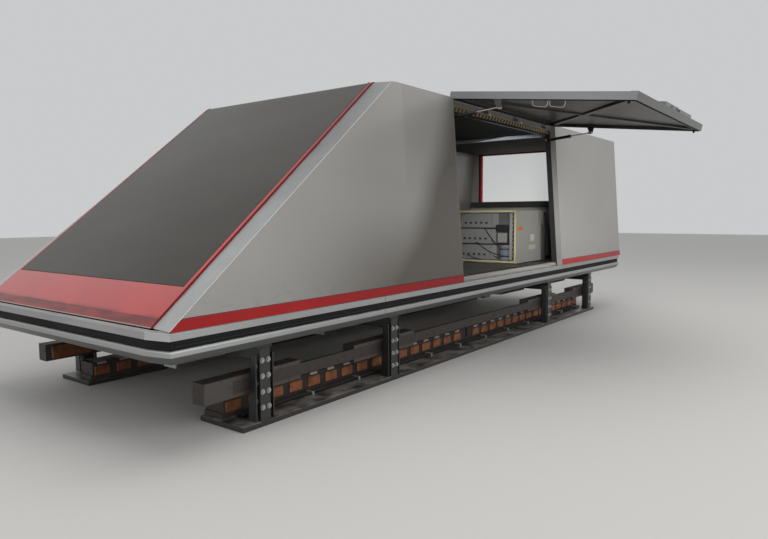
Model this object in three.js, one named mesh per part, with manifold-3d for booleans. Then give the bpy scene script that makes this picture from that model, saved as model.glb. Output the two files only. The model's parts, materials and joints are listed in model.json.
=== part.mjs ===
// A small magnetic-levitation test car: a wedge-nosed cabin on a flat floor deck, with a gull-wing
// door on each side and a levitation frame below that wraps round the edges of its guideway.
// Millimetres. +X runs to the nose, +Y to the car's left side, +Z up. The origin lies on the
// underside of the underframe, on the centre line at mid-length.
import * as THREE from 'three';
import { mergeVertices } from 'three/addons/utils/BufferGeometryUtils.js';
import { ConvexGeometry } from 'three/addons/geometries/ConvexGeometry.js';
import Module from 'manifold-3d';

const wasm = await Module();
wasm.setup();

// Driving dimensions

const GAP = 0.3;                 // clearance kept between solids that touch
const CLEAR = 5;                 // clearance round moving pieces
const WALL = 50;                 // thickness of walls and doors
const STRIPE_PROUD = 2;          // the red stripe stands this far off the wall
const DEG = Math.PI / 180;

const level = {
  ground: -400,                  // what the magnet carriers stand on
  skidFace: -110,                // underside of the landing skids, the guideway's top
  magnetFace: -262,              // top of the lifting magnets, below the guideway's flange
  frameBottom: 0,
  bandBottom: 40,
  lowerBandTop: 103,
  upperBandBottom: 143,
  deckBottom: 110,
  deckTop: 122,
  bandTop: 180,
  stripeTop: 232,
  ceiling: 1435,
  roof: 1480,
};

const plan = {
  front: 3000,                   // front face of the bands
  rear: -3000,
  cornerX: 32,                   // how far the bands' corners are cut back along X
  cornerY: 880,                  // half-width where the corner cut starts
  bandHalf: 1016,                // half-width over the bands and at the foot of the walls
  roofHalf: 918,                 // half-width at the roof's edge
  bandDepth: 40,
};

const nose = {
  glassFootX: 2954,              // the windscreen's outer face at the top of the upper band
  glassTopX: 1343,               // and at the roof
  halfFoot: 845,                 // half-width over the windscreen's red trim at its foot
  halfTop: 806,                  // and at the roof
  glassProud: 9.5,               // the windscreen stands this far off the corner strips' inner edges
  glassThick: 30,
  lipZ: 221,                     // where the red foot panel folds down into a lip
  lipFootX: 2949,
  footPanelTopZ: 343,            // top of the red panel at the windscreen's foot
  trimWide: 26,
  bandFoldZ: 188,                // the near corner strip stands upright below this, flush with the bands
};

// Outer edge of each corner strip, where it meets the wall. The far one falls back behind the glass.
const cornerEdge = {
  left: { footX: 2980, topX: 1286 },
  right: { footX: 2887, topX: 1254 },
};

const door = {
  frontX: 573,                   // the two jambs
  rearX: -1257,
  swingDeg: 79,
  pivotY: 875,
  pivotZ: 1484,
  skinThick: 20,
  frameWide: 34,
  flange: 6,
  braceWide: 42,
  lift: 6,                       // the shut door's lower edge above the band
};

const PIN_PAST_EYE = 14;

const strut = {
  baseY: 857,                    // pin on the jamb post
  baseZ: 1345,
  eyeOut: 391,                   // rod's eye from the door's pivot, door open: outwards
  eyeDown: 102,                  // and down
  inset: 35,                     // from the jamb
  bodyLength: 232,
  bodyRadius: 14,
  boreRadius: 7,
  rodRadius: 5,
  eyeRadius: 15,
  eyeWide: 18,
  pinRadius: 6,
};

// Finishes

const finish = {
  panel: [0x96948f, 0.42, 0.6],
  silver: [0xa8afb2, 0.35, 0.8],
  glass: [0x4a4e49, 0.1, 0.1],
  red: [0x8f1d1e, 0.4, 0.1],
  band: [0x9a9c9c, 0.35, 0.9],
  rubber: [0x141414, 0.8, 0],
  dark: [0x2c2d2b, 0.6, 0.3],
  black: [0x161616, 0.55, 0.4],
  cream: [0xc9c6b8, 0.6, 0],
  cabinet: [0x8f8c84, 0.5, 0.2],
  steel: [0xb9b9b6, 0.3, 0.9],
  laminate: [0x3a3532, 0.6, 0.6],
  cloth: [0x34383f, 0.95, 0],
};

// Where the sloping surfaces stand at a height: the wall's outer face, the windscreen's outer face
// and edge, and the nose plane under it
const cabinTall = level.roof - level.bandTop;
const slanting = (foot, top) => (z) => top + (level.roof - z) * (foot - top) / cabinTall;
const wallY = slanting(plan.bandHalf, plan.roofHalf);
const glassX = slanting(nose.glassFootX, nose.glassTopX);
const glassHalf = slanting(nose.halfFoot, nose.halfTop);
const noseAngle = Math.atan(cabinTall / (nose.glassFootX - nose.glassTopX));
const alongX = (thickness) => thickness / Math.sin(noseAngle);
const noseX = (z) => glassX(z) - alongX(nose.glassProud);
const bandCornerX = plan.front - plan.cornerX;
const cornerX = Object.fromEntries(Object.entries(cornerEdge).map(([name, { footX, topX }]) => [
  name, (z) => Math.min(slanting(footX, topX)(z), bandCornerX)]));

// Geometry helpers

const bare = (geometry) => {
  const copy = geometry.clone();
  copy.deleteAttribute('normal');
  copy.deleteAttribute('uv');
  return mergeVertices(copy, 1e-4);
};

const toSolid = (geometry) => {
  const clean = bare(geometry);
  return new wasm.Manifold(new wasm.Mesh({
    numProp: 3,
    vertProperties: new Float32Array(clean.attributes.position.array),
    triVerts: new Uint32Array(clean.index.array),
  }));
};

const fromSolid = (solid) => {
  const mesh = solid.getMesh();
  const geometry = new THREE.BufferGeometry();
  geometry.setAttribute('position', new THREE.BufferAttribute(new Float32Array(mesh.vertProperties), 3));
  geometry.setIndex(new THREE.BufferAttribute(new Uint32Array(mesh.triVerts), 1));
  return geometry;
};

const join = (geometries) => fromSolid(geometries.map(toSolid).reduce((sum, next) => sum.add(next)));
const cut = (base, tools) => fromSolid(
  tools.map(toSolid).reduce((rest, tool) => rest.subtract(tool), toSolid(base)));

const hull = (points) => new ConvexGeometry(points.map(([x, y, z]) => new THREE.Vector3(x, y, z)));

const block = ([x0, x1], [y0, y1], [z0, z1]) => new THREE.BoxGeometry(x1 - x0, y1 - y0, z1 - z0)
  .translate((x0 + x1) / 2, (y0 + y1) / 2, (z0 + z1) / 2);

const outline = (points, holes = []) => {
  const shape = new THREE.Shape(points.map(([a, b]) => new THREE.Vector2(a, b)));
  holes.forEach((hole) => shape.holes.push(new THREE.Path(hole.map(([a, b]) => new THREE.Vector2(a, b)))));
  return shape;
};

const extrude = (shape, depth) => new THREE.ExtrudeGeometry(
  shape, { depth, bevelEnabled: false, curveSegments: 10 });

// An outline in Y and Z, drawn out along X
const alongTheCar = (shape, x0, x1) => {
  const turn = new THREE.Matrix4().makeBasis(
    new THREE.Vector3(0, 1, 0), new THREE.Vector3(0, 0, 1), new THREE.Vector3(1, 0, 0));
  return extrude(shape, x1 - x0).applyMatrix4(turn).translate(x0, 0, 0);
};

// An outline in X and Z, drawn out along Y
const acrossTheCar = (shape, y0, y1) => extrude(shape, y1 - y0).rotateX(Math.PI / 2).translate(0, y1, 0);

// An outline in X and Y, drawn out along Z
const upwards = (shape, z0, z1) => extrude(shape, z1 - z0).translate(0, 0, z0);

const barBetween = (from, to, radius, sides = 16) => {
  const a = new THREE.Vector3(...from);
  const b = new THREE.Vector3(...to);
  const turn = new THREE.Quaternion().setFromUnitVectors(
    new THREE.Vector3(0, 1, 0), b.clone().sub(a).normalize());
  return new THREE.CylinderGeometry(radius, radius, a.distanceTo(b), sides)
    .applyQuaternion(turn).translate(...a.add(b).multiplyScalar(0.5).toArray());
};

const mirrored = (geometry) => {
  const copy = bare(geometry).scale(1, -1, 1);
  const index = copy.index.array;
  for (let i = 0; i < index.length; i += 3) [index[i], index[i + 1]] = [index[i + 1], index[i]];
  return copy;
};

const forSide = (side, geometry) => (side.sign > 0 ? geometry : mirrored(geometry));

const car = new THREE.Group();

const addPart = (parent, name, geometry, [color, roughness, metalness]) => {
  const mesh = new THREE.Mesh(geometry, new THREE.MeshStandardMaterial({ color, roughness, metalness }));
  mesh.name = name;
  parent.add(mesh);
};

const sides = [
  { name: 'left', sign: 1, open: true },
  { name: 'right', sign: -1, open: false },
];

// Walls

// A wall's lower and upper edge, with the height where its front edge turns upright
const wallLow = level.bandTop + GAP;
const wallLevels = [wallLow, nose.bandFoldZ, level.roof];

// A stretch of the left wall between its two edges. Its front end is either square or cut back
// along the corner strip, mitred so that the strip's inner face meets it.
const wallSlab = ({ rearX, frontX, edgeX }) => {
  const front = (z) => (edgeX ? edgeX(z) - alongX(2 * GAP) : frontX);
  const back = edgeX ? alongX(WALL) : 0;
  return hull(wallLevels.flatMap((z) => [
    [front(z), wallY(z), z],
    [rearX, wallY(z), z],
    [front(z) - back, wallY(z) - WALL, z],
    [rearX, wallY(z) - WALL, z],
  ]));
};

// The red stripe raised along the wall's foot, with a rounded shoulder where it follows the nose
const stripe = { shoulder: 75, steps: 6, inset: 3 };
const wallStripe = ({ rearX, frontX, edgeX }) => {
  const top = level.stripeTop;
  let ends = [[frontX, wallLow], [frontX, top]];
  if (edgeX) {
    const slope = Math.atan2(top - nose.bandFoldZ, edgeX(nose.bandFoldZ) - edgeX(top));
    const cornerAt = edgeX(top) - stripe.inset;
    const centre = [cornerAt - stripe.shoulder * Math.tan(slope / 2), top - stripe.shoulder];
    const arc = Array.from({ length: stripe.steps + 1 }, (_, i) => {
      const turn = slope * (1 - i / stripe.steps);
      return [centre[0] + stripe.shoulder * Math.sin(turn), centre[1] + stripe.shoulder * Math.cos(turn)];
    });
    ends = [wallLow, nose.bandFoldZ].map((z) => [edgeX(z) - stripe.inset, z]).concat(arc);
  }
  const mitre = edgeX ? alongX(WALL / 2) : 0;
  return hull([
    ...ends.flatMap(([x, z]) => [[x, wallY(z) + STRIPE_PROUD, z], [x - mitre, wallY(z) - WALL / 2, z]]),
    ...[wallLow, top].flatMap((z) => [
      [rearX, wallY(z) + STRIPE_PROUD, z], [rearX, wallY(z) - WALL / 2, z]]),
  ]);
};

const wall = (ends) => join([wallSlab(ends), wallStripe(ends)]);

// The strip between windscreen and wall turns a little from foot to roof, so it is built in steps
const stripSteps = 8;
const stripBeside = 1;
const cornerStrip = (edgeX) => {
  const levels = [wallLow, ...Array.from({ length: stripSteps + 1 }, (_, i) => (
    nose.bandFoldZ + (level.roof - nose.bandFoldZ) * (i / stripSteps)))];
  const ring = (z) => [
    [noseX(z), glassHalf(z) + stripBeside, z],
    [edgeX(z), wallY(z), z],
    [noseX(z) - alongX(WALL), glassHalf(z) + stripBeside, z],
    [edgeX(z) - alongX(WALL), wallY(z) - WALL, z],
  ];
  return join(levels.slice(1).map((z, i) => hull([...ring(levels[i]), ...ring(z)])));
};

sides.forEach((side) => {
  const edgeX = cornerX[side.name];
  const front = wall({ rearX: door.frontX, edgeX });
  const rear = wall({ rearX: plan.rear, frontX: door.rearX });
  addPart(car, `nose_corner_${side.name}`, forSide(side, cornerStrip(edgeX)), finish.silver);
  addPart(car, `side_front_${side.name}`, forSide(side, front), finish.panel);
  addPart(car, `side_rear_${side.name}`, forSide(side, rear), finish.panel);
});

// A sloping slab with the windscreen's faces, between two heights and two edges
const screenDeep = alongX(nose.glassThick);
const screenSlab = (levels, innerEdge, outerEdge) => hull(levels.flatMap((z) => [
  [glassX(z), innerEdge(z), z], [glassX(z), outerEdge(z), z],
  [glassX(z) - screenDeep, innerEdge(z), z], [glassX(z) - screenDeep, outerEdge(z), z],
]));

const glassEdge = (z) => glassHalf(z) - nose.trimWide;
addPart(car, 'windscreen_glass', screenSlab(
  [nose.footPanelTopZ + GAP, level.roof],
  (z) => GAP - glassEdge(z),
  (z) => glassEdge(z) - GAP,
), finish.glass);

// The red surround: an edge strip up each side of the glass, and the folded panel across its foot
const screenTrim = screenSlab([nose.lipZ, level.roof], glassEdge, glassHalf);
const footPanel = hull([
  [nose.footPanelTopZ, glassX(nose.footPanelTopZ)],
  [nose.lipZ, glassX(nose.lipZ)],
  [wallLow, nose.lipFootX],
].flatMap(([z, x]) => [-1, 1].flatMap((edge) => [
  [x, edge * glassHalf(z), z], [glassX(z) - screenDeep, edge * glassHalf(z), z],
])));
addPart(car, 'windscreen_surround', join([footPanel, screenTrim, mirrored(screenTrim)]), finish.red);

// Roof, rear wall and rear window

const roofHalf = plan.roofHalf - WALL - GAP;
const roofDoorHalf = plan.roofHalf - WALL - CLEAR - 1;
const rearInner = plan.rear + WALL;
const roofSide = ({ name, sign }) => {
  const besideStrip = sign * (nose.halfTop + stripBeside - GAP);
  const behindStrip = (x) => x - alongX(WALL) - GAP;
  return [
    [glassX(level.roof) - screenDeep - GAP, besideStrip],
    [behindStrip(noseX(level.roof)), besideStrip],
    [behindStrip(cornerX[name](level.roof)), sign * roofHalf],
    [door.frontX, sign * roofHalf],
    [door.frontX, sign * roofDoorHalf],
    [door.rearX, sign * roofDoorHalf],
    [door.rearX, sign * roofHalf],
    [rearInner + GAP, sign * roofHalf],
  ];
};

// Pockets in the roof's edge beside each hinge knuckle
const hingeXs = [-1129, -543, -9];
const pocket = { half: 55, deep: 40, low: 1445, high: 1474 };
const pockets = [-1, 1].flatMap((sign) => hingeXs.map((x) => block(
  [x - pocket.half, x + pocket.half],
  [roofDoorHalf - pocket.deep, roofDoorHalf + 1].map((y) => sign * y).sort((a, b) => a - b),
  [pocket.low, pocket.high])));
const roofOutline = outline([...roofSide(sides[0]), ...roofSide(sides[1]).reverse()]);
addPart(car, 'roof_panel', cut(upwards(roofOutline, level.ceiling, level.roof), pockets), finish.panel);

const rearWindow = { half: 792, low: 791, high: 1436, thick: 12 };
const rectangle = (half, low, high) => [[-half, low], [half, low], [half, high], [-half, high]];
const rearHalf = (z) => wallY(z) - WALL - GAP;
const rearOutline = [
  [-rearHalf(wallLow), wallLow], [rearHalf(wallLow), wallLow],
  [rearHalf(level.roof), level.roof], [-rearHalf(level.roof), level.roof],
];
addPart(car, 'rear_wall', alongTheCar(
  outline(rearOutline, [rectangle(rearWindow.half, rearWindow.low, rearWindow.high)]),
  plan.rear, rearInner), finish.panel);
const trimDeep = 26;
addPart(car, 'rear_window_trim', alongTheCar(
  outline(
    rectangle(rearWindow.half - GAP, rearWindow.low + GAP, rearWindow.high - GAP),
    [rectangle(rearWindow.half - trimDeep, rearWindow.low + trimDeep, rearWindow.high - trimDeep)]),
  plan.rear + 4, rearInner - 4), finish.red);
addPart(car, 'rear_window', alongTheCar(
  outline(rectangle(
    rearWindow.half - trimDeep - GAP, rearWindow.low + trimDeep + GAP, rearWindow.high - trimDeep - GAP)),
  plan.rear + 18, plan.rear + 18 + rearWindow.thick), finish.glass);
addPart(car, 'rear_shelf', block([rearInner + GAP, rearInner + 110], [-860, 860], [745, 812]), finish.dark);

// Bands round the foot of the cabin, each a closed ring with its corners cut back

const ringCorners = [
  [plan.front, -plan.cornerY], [plan.front, plan.cornerY],
  [plan.front - plan.cornerX, plan.bandHalf], [plan.rear + plan.cornerX, plan.bandHalf],
  [plan.rear, plan.cornerY], [plan.rear, -plan.cornerY],
  [plan.rear + plan.cornerX, -plan.bandHalf], [plan.front - plan.cornerX, -plan.bandHalf],
];

// The ring's outline, moved in by the same distance on every side
const ringInset = (inset) => ringCorners.map((corner, i) => {
  const before = ringCorners[(i + ringCorners.length - 1) % ringCorners.length];
  const after = ringCorners[(i + 1) % ringCorners.length];
  const into = new THREE.Vector2(corner[0] - before[0], corner[1] - before[1]).normalize();
  const away = new THREE.Vector2(after[0] - corner[0], after[1] - corner[1]).normalize();
  const inward = new THREE.Vector2(-into.y - away.y, into.x + away.x).normalize();
  const depth = inset / inward.dot(new THREE.Vector2(-into.y, into.x));
  return [corner[0] + inward.x * depth, corner[1] + inward.y * depth];
});

// Outer face of each ring: how far it stands in from the outline, and the height
const bandFaces = {
  upper_band: [[0, level.bandTop], [0, level.upperBandBottom]],
  rubber_band: [[12, level.upperBandBottom - GAP], [12, level.lowerBandTop + GAP]],
  lower_band: [
    [5, level.lowerBandTop], [0, level.lowerBandTop - 7],
    [0, level.lowerBandTop - 28], [26, level.bandBottom],
  ],
};
const bandFinish = { upper_band: finish.band, rubber_band: finish.rubber, lower_band: finish.band };
Object.entries(bandFaces).forEach(([name, face]) => {
  const outside = hull(face.flatMap(([inset, z]) => ringInset(inset).map(([x, y]) => [x, y, z])));
  const inside = upwards(outline(ringInset(plan.bandDepth)), level.ground, level.roof);
  addPart(car, name, cut(outside, [inside]), bandFinish[name]);
});

// Floor deck, sills and the frames round the doors

addPart(car, 'floor_deck', upwards(
  outline(ringInset(plan.bandDepth + GAP)), level.deckBottom, level.deckTop), finish.dark);

const post = { wide: 60, deep: 50 };
const header = { low: 1400, inner: 790 };
const sill = { inner: 870, outer: 955, top: 205 };
const strutXs = [door.frontX - strut.inset, door.rearX + strut.inset];

// Two posts joined by the header, with the pins that the struts turn on
const doorSurround = () => {
  const postAt = (x0, x1) => hull([level.deckTop + GAP, level.ceiling - GAP].flatMap((z) => [
    [x0, wallY(z) - WALL - GAP, z], [x1, wallY(z) - WALL - GAP, z],
    [x0, wallY(z) - WALL - post.deep, z], [x1, wallY(z) - WALL - post.deep, z],
  ]));
  const pin = (from, to) => barBetween(
    [from, strut.baseY, strut.baseZ], [to, strut.baseY, strut.baseZ], strut.pinRadius);
  return join([
    postAt(door.frontX, door.frontX + post.wide),
    postAt(door.rearX - post.wide, door.rearX),
    block([door.rearX - post.wide, door.frontX + post.wide], [header.inner, roofDoorHalf],
      [header.low, level.ceiling - GAP]),
    pin(door.frontX + 10, strutXs[0] - PIN_PAST_EYE),
    pin(door.rearX - 10, strutXs[1] + PIN_PAST_EYE),
  ]);
};

// A long leaf on the roof's edge with three knuckles on the door's pivot line
const hinge = {
  knuckleRadius: 9,
  length: 60,
  leafThick: 6,
  leafWide: 70,
  leafFromPivot: 30,
  leafFromJamb: 8,
  plateInto: 12,
};
const knuckle = (x) => barBetween(
  [x - hinge.length / 2, door.pivotY, door.pivotZ], [x + hinge.length / 2, door.pivotY, door.pivotZ],
  hinge.knuckleRadius);
const doorHinge = () => {
  const leafZ = [level.roof + GAP, level.roof + GAP + hinge.leafThick];
  const leafEdge = door.pivotY - hinge.leafFromPivot;
  return join([
    block([door.rearX + hinge.leafFromJamb, door.frontX - hinge.leafFromJamb],
      [leafEdge - hinge.leafWide, leafEdge], leafZ),
    ...hingeXs.flatMap((x) => [
      knuckle(x),
      block([x - hinge.length / 2, x + hinge.length / 2], [leafEdge - CLEAR, door.pivotY], leafZ),
    ]),
  ]);
};

const sillBlock = () => block(
  [door.rearX, door.frontX], [sill.inner, sill.outer], [level.deckTop + GAP, sill.top]);

sides.forEach((side) => {
  addPart(car, `door_surround_${side.name}`, forSide(side, doorSurround()), finish.dark);
  addPart(car, `door_hinge_${side.name}`, forSide(side, doorHinge()), finish.steel);
  addPart(car, `door_sill_${side.name}`, forSide(side, sillBlock()), finish.cream);
});

// Doors, modelled shut about their pivot line and then swung

const doorLow = level.bandTop + door.lift;
const doorHigh = door.pivotZ - hinge.knuckleRadius - CLEAR;
const doorFront = door.frontX - CLEAR;
const doorRear = door.rearX + CLEAR;

// A slab parallel to the wall, between two distances in from its outer face
const doorSlab = ({ x0, x1, low, high, from, to }) => hull([low, high].flatMap((z) => [
  [x0, wallY(z) - from, z], [x1, wallY(z) - from, z],
  [x0, wallY(z) - to, z], [x1, wallY(z) - to, z],
]));

// The skin is folded over into a flange along its foot and both ends
const doorSkin = () => {
  const whole = { x0: doorRear, x1: doorFront, low: doorLow, high: doorHigh };
  const flange = { ...whole, from: 0, to: WALL };
  return join([
    doorSlab({ ...whole, from: 0, to: door.skinThick }),
    doorSlab({ ...whole, high: level.stripeTop, from: -STRIPE_PROUD, to: door.skinThick }),
    doorSlab({ ...flange, high: doorLow + door.flange }),
    doorSlab({ ...flange, x1: doorRear + door.flange }),
    doorSlab({ ...flange, x0: doorFront - door.flange }),
  ]);
};

// The rod's eye about the door's pivot, with the door shut
const turned = (y, z, angle) => [
  y * Math.cos(angle) - z * Math.sin(angle),
  y * Math.sin(angle) + z * Math.cos(angle),
];
const eyeShut = turned(strut.eyeOut, -strut.eyeDown, -door.swingDeg * DEG);

// A tab beside the rod's eye, tapering in from the door's frame
const tab = { thick: 6, beside: 17, half: 34, rise: 16, tipHalf: 12, past: 6 };
const strutTab = (x) => {
  const [eyeY, eyeZ] = [door.pivotY + eyeShut[0], door.pivotZ + eyeShut[1]];
  return hull([x, x + tab.thick].flatMap((px) => [
    [px, wallY(eyeZ + tab.rise + tab.half) - WALL + 4, eyeZ + tab.rise + tab.half],
    [px, wallY(eyeZ + tab.rise - tab.half) - WALL + 4, eyeZ + tab.rise - tab.half],
    [px, eyeY - tab.past, eyeZ + tab.tipHalf],
    [px, eyeY - tab.past, eyeZ - tab.tipHalf],
  ]));
};

// A knuckle on the door's side of each hinge, on a plate standing up from the frame
const doorKnuckle = (x) => join([
  knuckle(x),
  block([x - hinge.length / 2, x + hinge.length / 2],
    [door.pivotY - hinge.knuckleRadius + 2, wallY(doorHigh) - door.skinThick - 2],
    [doorHigh - hinge.plateInto, door.pivotZ]),
]);

// Border bars and a crossed brace, all one welded frame behind the skin
const doorFrame = () => {
  const depth = { from: door.skinThick + GAP, to: WALL - 2 };
  const wide = door.frameWide;
  const [rear, front] = [doorRear + door.flange + GAP, doorFront - door.flange - GAP];
  const low = doorLow + door.flange + GAP;
  const bar = (x0, x1, z0, z1) => doorSlab({ x0, x1, low: z0, high: z1, ...depth });
  const inset = wide - door.braceWide / 3;
  const corners = [rear + inset, front - inset].map(
    (x) => [low + inset, doorHigh - inset].map((z) => [x, z]));
  const brace = (from, to) => {
    const run = new THREE.Vector2(to[0] - from[0], to[1] - from[1]).normalize();
    return hull([from, to].flatMap(([x, z]) => [1, -1].flatMap((edge) => {
      const px = x - run.y * (door.braceWide / 2) * edge;
      const pz = z + run.x * (door.braceWide / 2) * edge;
      return [[px, wallY(pz) - depth.from - 2, pz], [px, wallY(pz) - depth.to + 2, pz]];
    })));
  };
  return join([
    bar(rear, front, low, low + wide),
    bar(rear, front, doorHigh - wide, doorHigh),
    bar(rear, rear + wide, low, doorHigh),
    bar(front - wide, front, low, doorHigh),
    brace(corners[0][0], corners[1][1]),
    brace(corners[0][1], corners[1][0]),
    ...hingeXs.map((x) => doorKnuckle(x + hinge.length + 2)),
    strutTab(strutXs[0] + tab.beside),
    strutTab(strutXs[1] - tab.beside - tab.thick),
  ]);
};

// Two wire loops on one plate, near the door's front edge
const handle = { z: 848, tall: 104, between: 13, deep: 40, radius: 4, plateHalf: 13, plateThick: 4 };
const doorHandle = () => {
  const x = doorFront - door.flange - door.frameWide / 2;
  const low = handle.z - 2 * handle.tall - handle.between;
  const face = (z) => wallY(z) - WALL - GAP;
  const loops = [handle.z, handle.z - handle.tall - handle.between].flatMap((top) => {
    const bottom = top - handle.tall;
    const reach = face(top) - handle.deep;
    return [
      barBetween([x, face(top) - 2, top], [x, reach - handle.radius, top], handle.radius, 10),
      barBetween([x, face(bottom) - 2, bottom], [x, reach - handle.radius, bottom], handle.radius, 10),
      barBetween([x, reach, bottom - handle.radius], [x, reach, top + handle.radius], handle.radius, 10),
    ];
  });
  const plate = hull([low - 12, handle.z + 12].flatMap((z) => [-1, 1].flatMap((edge) => [
    [x + edge * handle.plateHalf, face(z), z],
    [x + edge * handle.plateHalf, face(z) - handle.plateThick, z],
  ])));
  return join([plate, ...loops]);
};

// The outside grip: a flat housing over the stripe near the door's lower edge
const latch = { rearX: -470, frontX: -115, low: 202, high: 262, proud: 34, lap: 3 };
const doorLatch = () => {
  const ends = { x0: latch.rearX, x1: latch.frontX, high: latch.high };
  const overStripe = -STRIPE_PROUD - GAP;
  return join([
    doorSlab({ ...ends, low: latch.low, from: -latch.proud, to: overStripe }),
    doorSlab({ ...ends, low: level.stripeTop + GAP, from: overStripe - latch.lap, to: -GAP }),
  ]);
};

sides.forEach((side) => {
  const leaf = new THREE.Group();
  leaf.position.set(0, side.sign * door.pivotY, door.pivotZ);
  leaf.rotation.x = side.open ? side.sign * door.swingDeg * DEG : 0;
  car.add(leaf);
  [
    ['door_skin', doorSkin(), finish.panel],
    ['door_frame', doorFrame(), finish.dark],
    ['door_handle', doorHandle(), finish.steel],
    ['door_latch', doorLatch(), finish.panel],
  ].forEach(([name, geometry, look]) => {
    const local = forSide(side, geometry.translate(0, -door.pivotY, -door.pivotZ));
    addPart(leaf, `${name}_${side.name}`, local, look);
  });
});

// Gas struts: a cylinder turning on the post's pin and a rod sliding in it, drawn along +Y from the
// pin and then turned to where the door is

const eyeFromPin = (open) => {
  const [y, z] = open ? [strut.eyeOut, -strut.eyeDown] : eyeShut;
  return [door.pivotY + y - strut.baseY, door.pivotZ + z - strut.baseZ];
};
const strutLength = (open) => Math.hypot(...eyeFromPin(open));

const ringOnX = (outer, inner, wide) => {
  const half = wide / 2;
  const profile = [[inner, -half], [outer, -half], [outer, half], [inner, half], [inner, -half]];
  const points = profile.map(([r, h]) => new THREE.Vector2(r, h));
  return new THREE.LatheGeometry(points, 20).rotateZ(-Math.PI / 2);
};

const strutCylinder = () => cut(
  join([
    ringOnX(strut.eyeRadius, strut.pinRadius + 1, strut.eyeWide),
    barBetween([0, strut.eyeRadius - 3, 0], [0, strut.bodyLength, 0], strut.bodyRadius, 20),
  ]),
  [barBetween([0, strut.eyeRadius + 8, 0], [0, strut.bodyLength + 1, 0], strut.boreRadius, 16)]);

// The rod ends in the bore just short of its floor with the door shut
const strutRod = () => {
  const inside = strutLength(false) - strut.eyeRadius - 12;
  return join([
    ringOnX(strut.eyeRadius - 1, strut.pinRadius, strut.eyeWide - 4),
    barBetween([0, -inside, 0], [0, -strut.eyeRadius + 4, 0], strut.rodRadius, 12),
  ]);
};

sides.forEach((side) => {
  const [y, z] = eyeFromPin(side.open);
  const group = new THREE.Group();
  group.position.set(0, side.sign * strut.baseY, strut.baseZ);
  group.rotation.x = side.sign * Math.atan2(z, y);
  car.add(group);
  [['front', strutXs[0]], ['rear', strutXs[1]]].forEach(([end, x]) => {
    const cylinder = strutCylinder().translate(x, 0, 0);
    const rod = strutRod().translate(x, strutLength(side.open), 0);
    addPart(group, `strut_cylinder_${side.name}_${end}`, forSide(side, cylinder), finish.black);
    addPart(group, `strut_rod_${side.name}_${end}`, forSide(side, rod), finish.steel);
  });
});

// Inside the cabin: an equipment cabinet with one rounded corner, open at the front

const cabinet = {
  rearX: -2560, frontX: -1760, rightY: -500, leftY: 300, top: 700, foot: 8, footInset: 40,
  recess: 260, skin: 22, round: 160,
};
const cabinetOutline = () => {
  const { rearX, frontX, rightY, leftY, round } = cabinet;
  const steps = 6;
  const corner = Array.from({ length: steps + 1 }, (_, i) => {
    const turn = (i / steps) * (Math.PI / 2);
    return [rearX + round - round * Math.sin(turn), leftY - round + round * Math.cos(turn)];
  });
  return outline([[frontX, rightY], [frontX, leftY], ...corner, [rearX, rightY]]);
};
const cabinetLow = level.deckTop + GAP + cabinet.foot;
const cabinetHollow = {
  y0: cabinet.rightY + cabinet.skin, y1: cabinet.leftY - cabinet.skin,
  z0: cabinetLow + cabinet.skin, z1: cabinet.top - cabinet.skin,
};
addPart(car, 'equipment_cabinet', cut(
  join([
    upwards(cabinetOutline(), cabinetLow, cabinet.top),
    block([cabinet.rearX + cabinet.round, cabinet.frontX - cabinet.footInset],
      [cabinet.rightY + cabinet.footInset, cabinet.leftY - cabinet.round],
      [level.deckTop + GAP, cabinetLow + 1]),
  ]),
  [block([cabinet.frontX - cabinet.recess, cabinet.frontX + 1], [cabinetHollow.y0, cabinetHollow.y1],
    [cabinetHollow.z0, cabinetHollow.z1])]), finish.cabinet);

// Three stacked units on one back plate
const unit = { count: 3, between: 8, deep: 200, stepBack: 22, back: 30, side: 24 };
const unitPitch = (cabinetHollow.z1 - cabinetHollow.z0 - 2 * GAP) / unit.count;
const unitLow = (i) => cabinetHollow.z0 + GAP + i * unitPitch;
const unitBackX = cabinet.frontX - cabinet.recess;
addPart(car, 'cabinet_equipment', join([
  block([unitBackX + GAP, unitBackX + unit.back],
    [cabinetHollow.y0 + GAP, cabinetHollow.y1 - GAP], [cabinetHollow.z0 + GAP, cabinetHollow.z1 - GAP]),
  ...Array.from({ length: unit.count }, (_, i) => block(
    [unitBackX + unit.back - 2, unitBackX + unit.deep - i * unit.stepBack],
    [cabinetHollow.y0 + unit.side, cabinetHollow.y1 - unit.side],
    [unitLow(i) + unit.between / 2, unitLow(i + 1) - unit.between / 2])),
]), finish.black);

// A bench for two behind the windscreen, and the console before it

const bench = {
  rearX: 760, half: 560, cushionDeep: 480, cushionThick: 120, baseTall: 210, backTall: 620,
  backThick: 110, leanDeg: 12,
};
const cushionLow = level.deckTop + GAP + bench.baseTall + GAP;
addPart(car, 'bench_base', block(
  [bench.rearX - 60, bench.rearX + bench.cushionDeep - 60], [-bench.half + 40, bench.half - 40],
  [level.deckTop + GAP, level.deckTop + GAP + bench.baseTall]), finish.black);
addPart(car, 'bench_cushion', block(
  [bench.rearX, bench.rearX + bench.cushionDeep], [-bench.half, bench.half],
  [cushionLow, cushionLow + bench.cushionThick]), finish.cloth);
addPart(car, 'bench_back', new THREE.BoxGeometry(bench.backThick, 2 * bench.half, bench.backTall)
  .translate(-bench.backThick / 2, 0, bench.backTall / 2)
  .rotateY(-bench.leanDeg * DEG)
  .translate(bench.rearX - 12, 0, cushionLow + 40), finish.cloth);
const consoleOutline = [
  [1640, level.deckTop + GAP], [1900, level.deckTop + GAP],
  [1880, 600], [1720, 700], [1560, 640], [1600, 600],
];
addPart(car, 'driver_console', acrossTheCar(outline(consoleOutline), -620, 620), finish.dark);

// Underframe: two long beams with bearers across them, welded into one ladder

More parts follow.
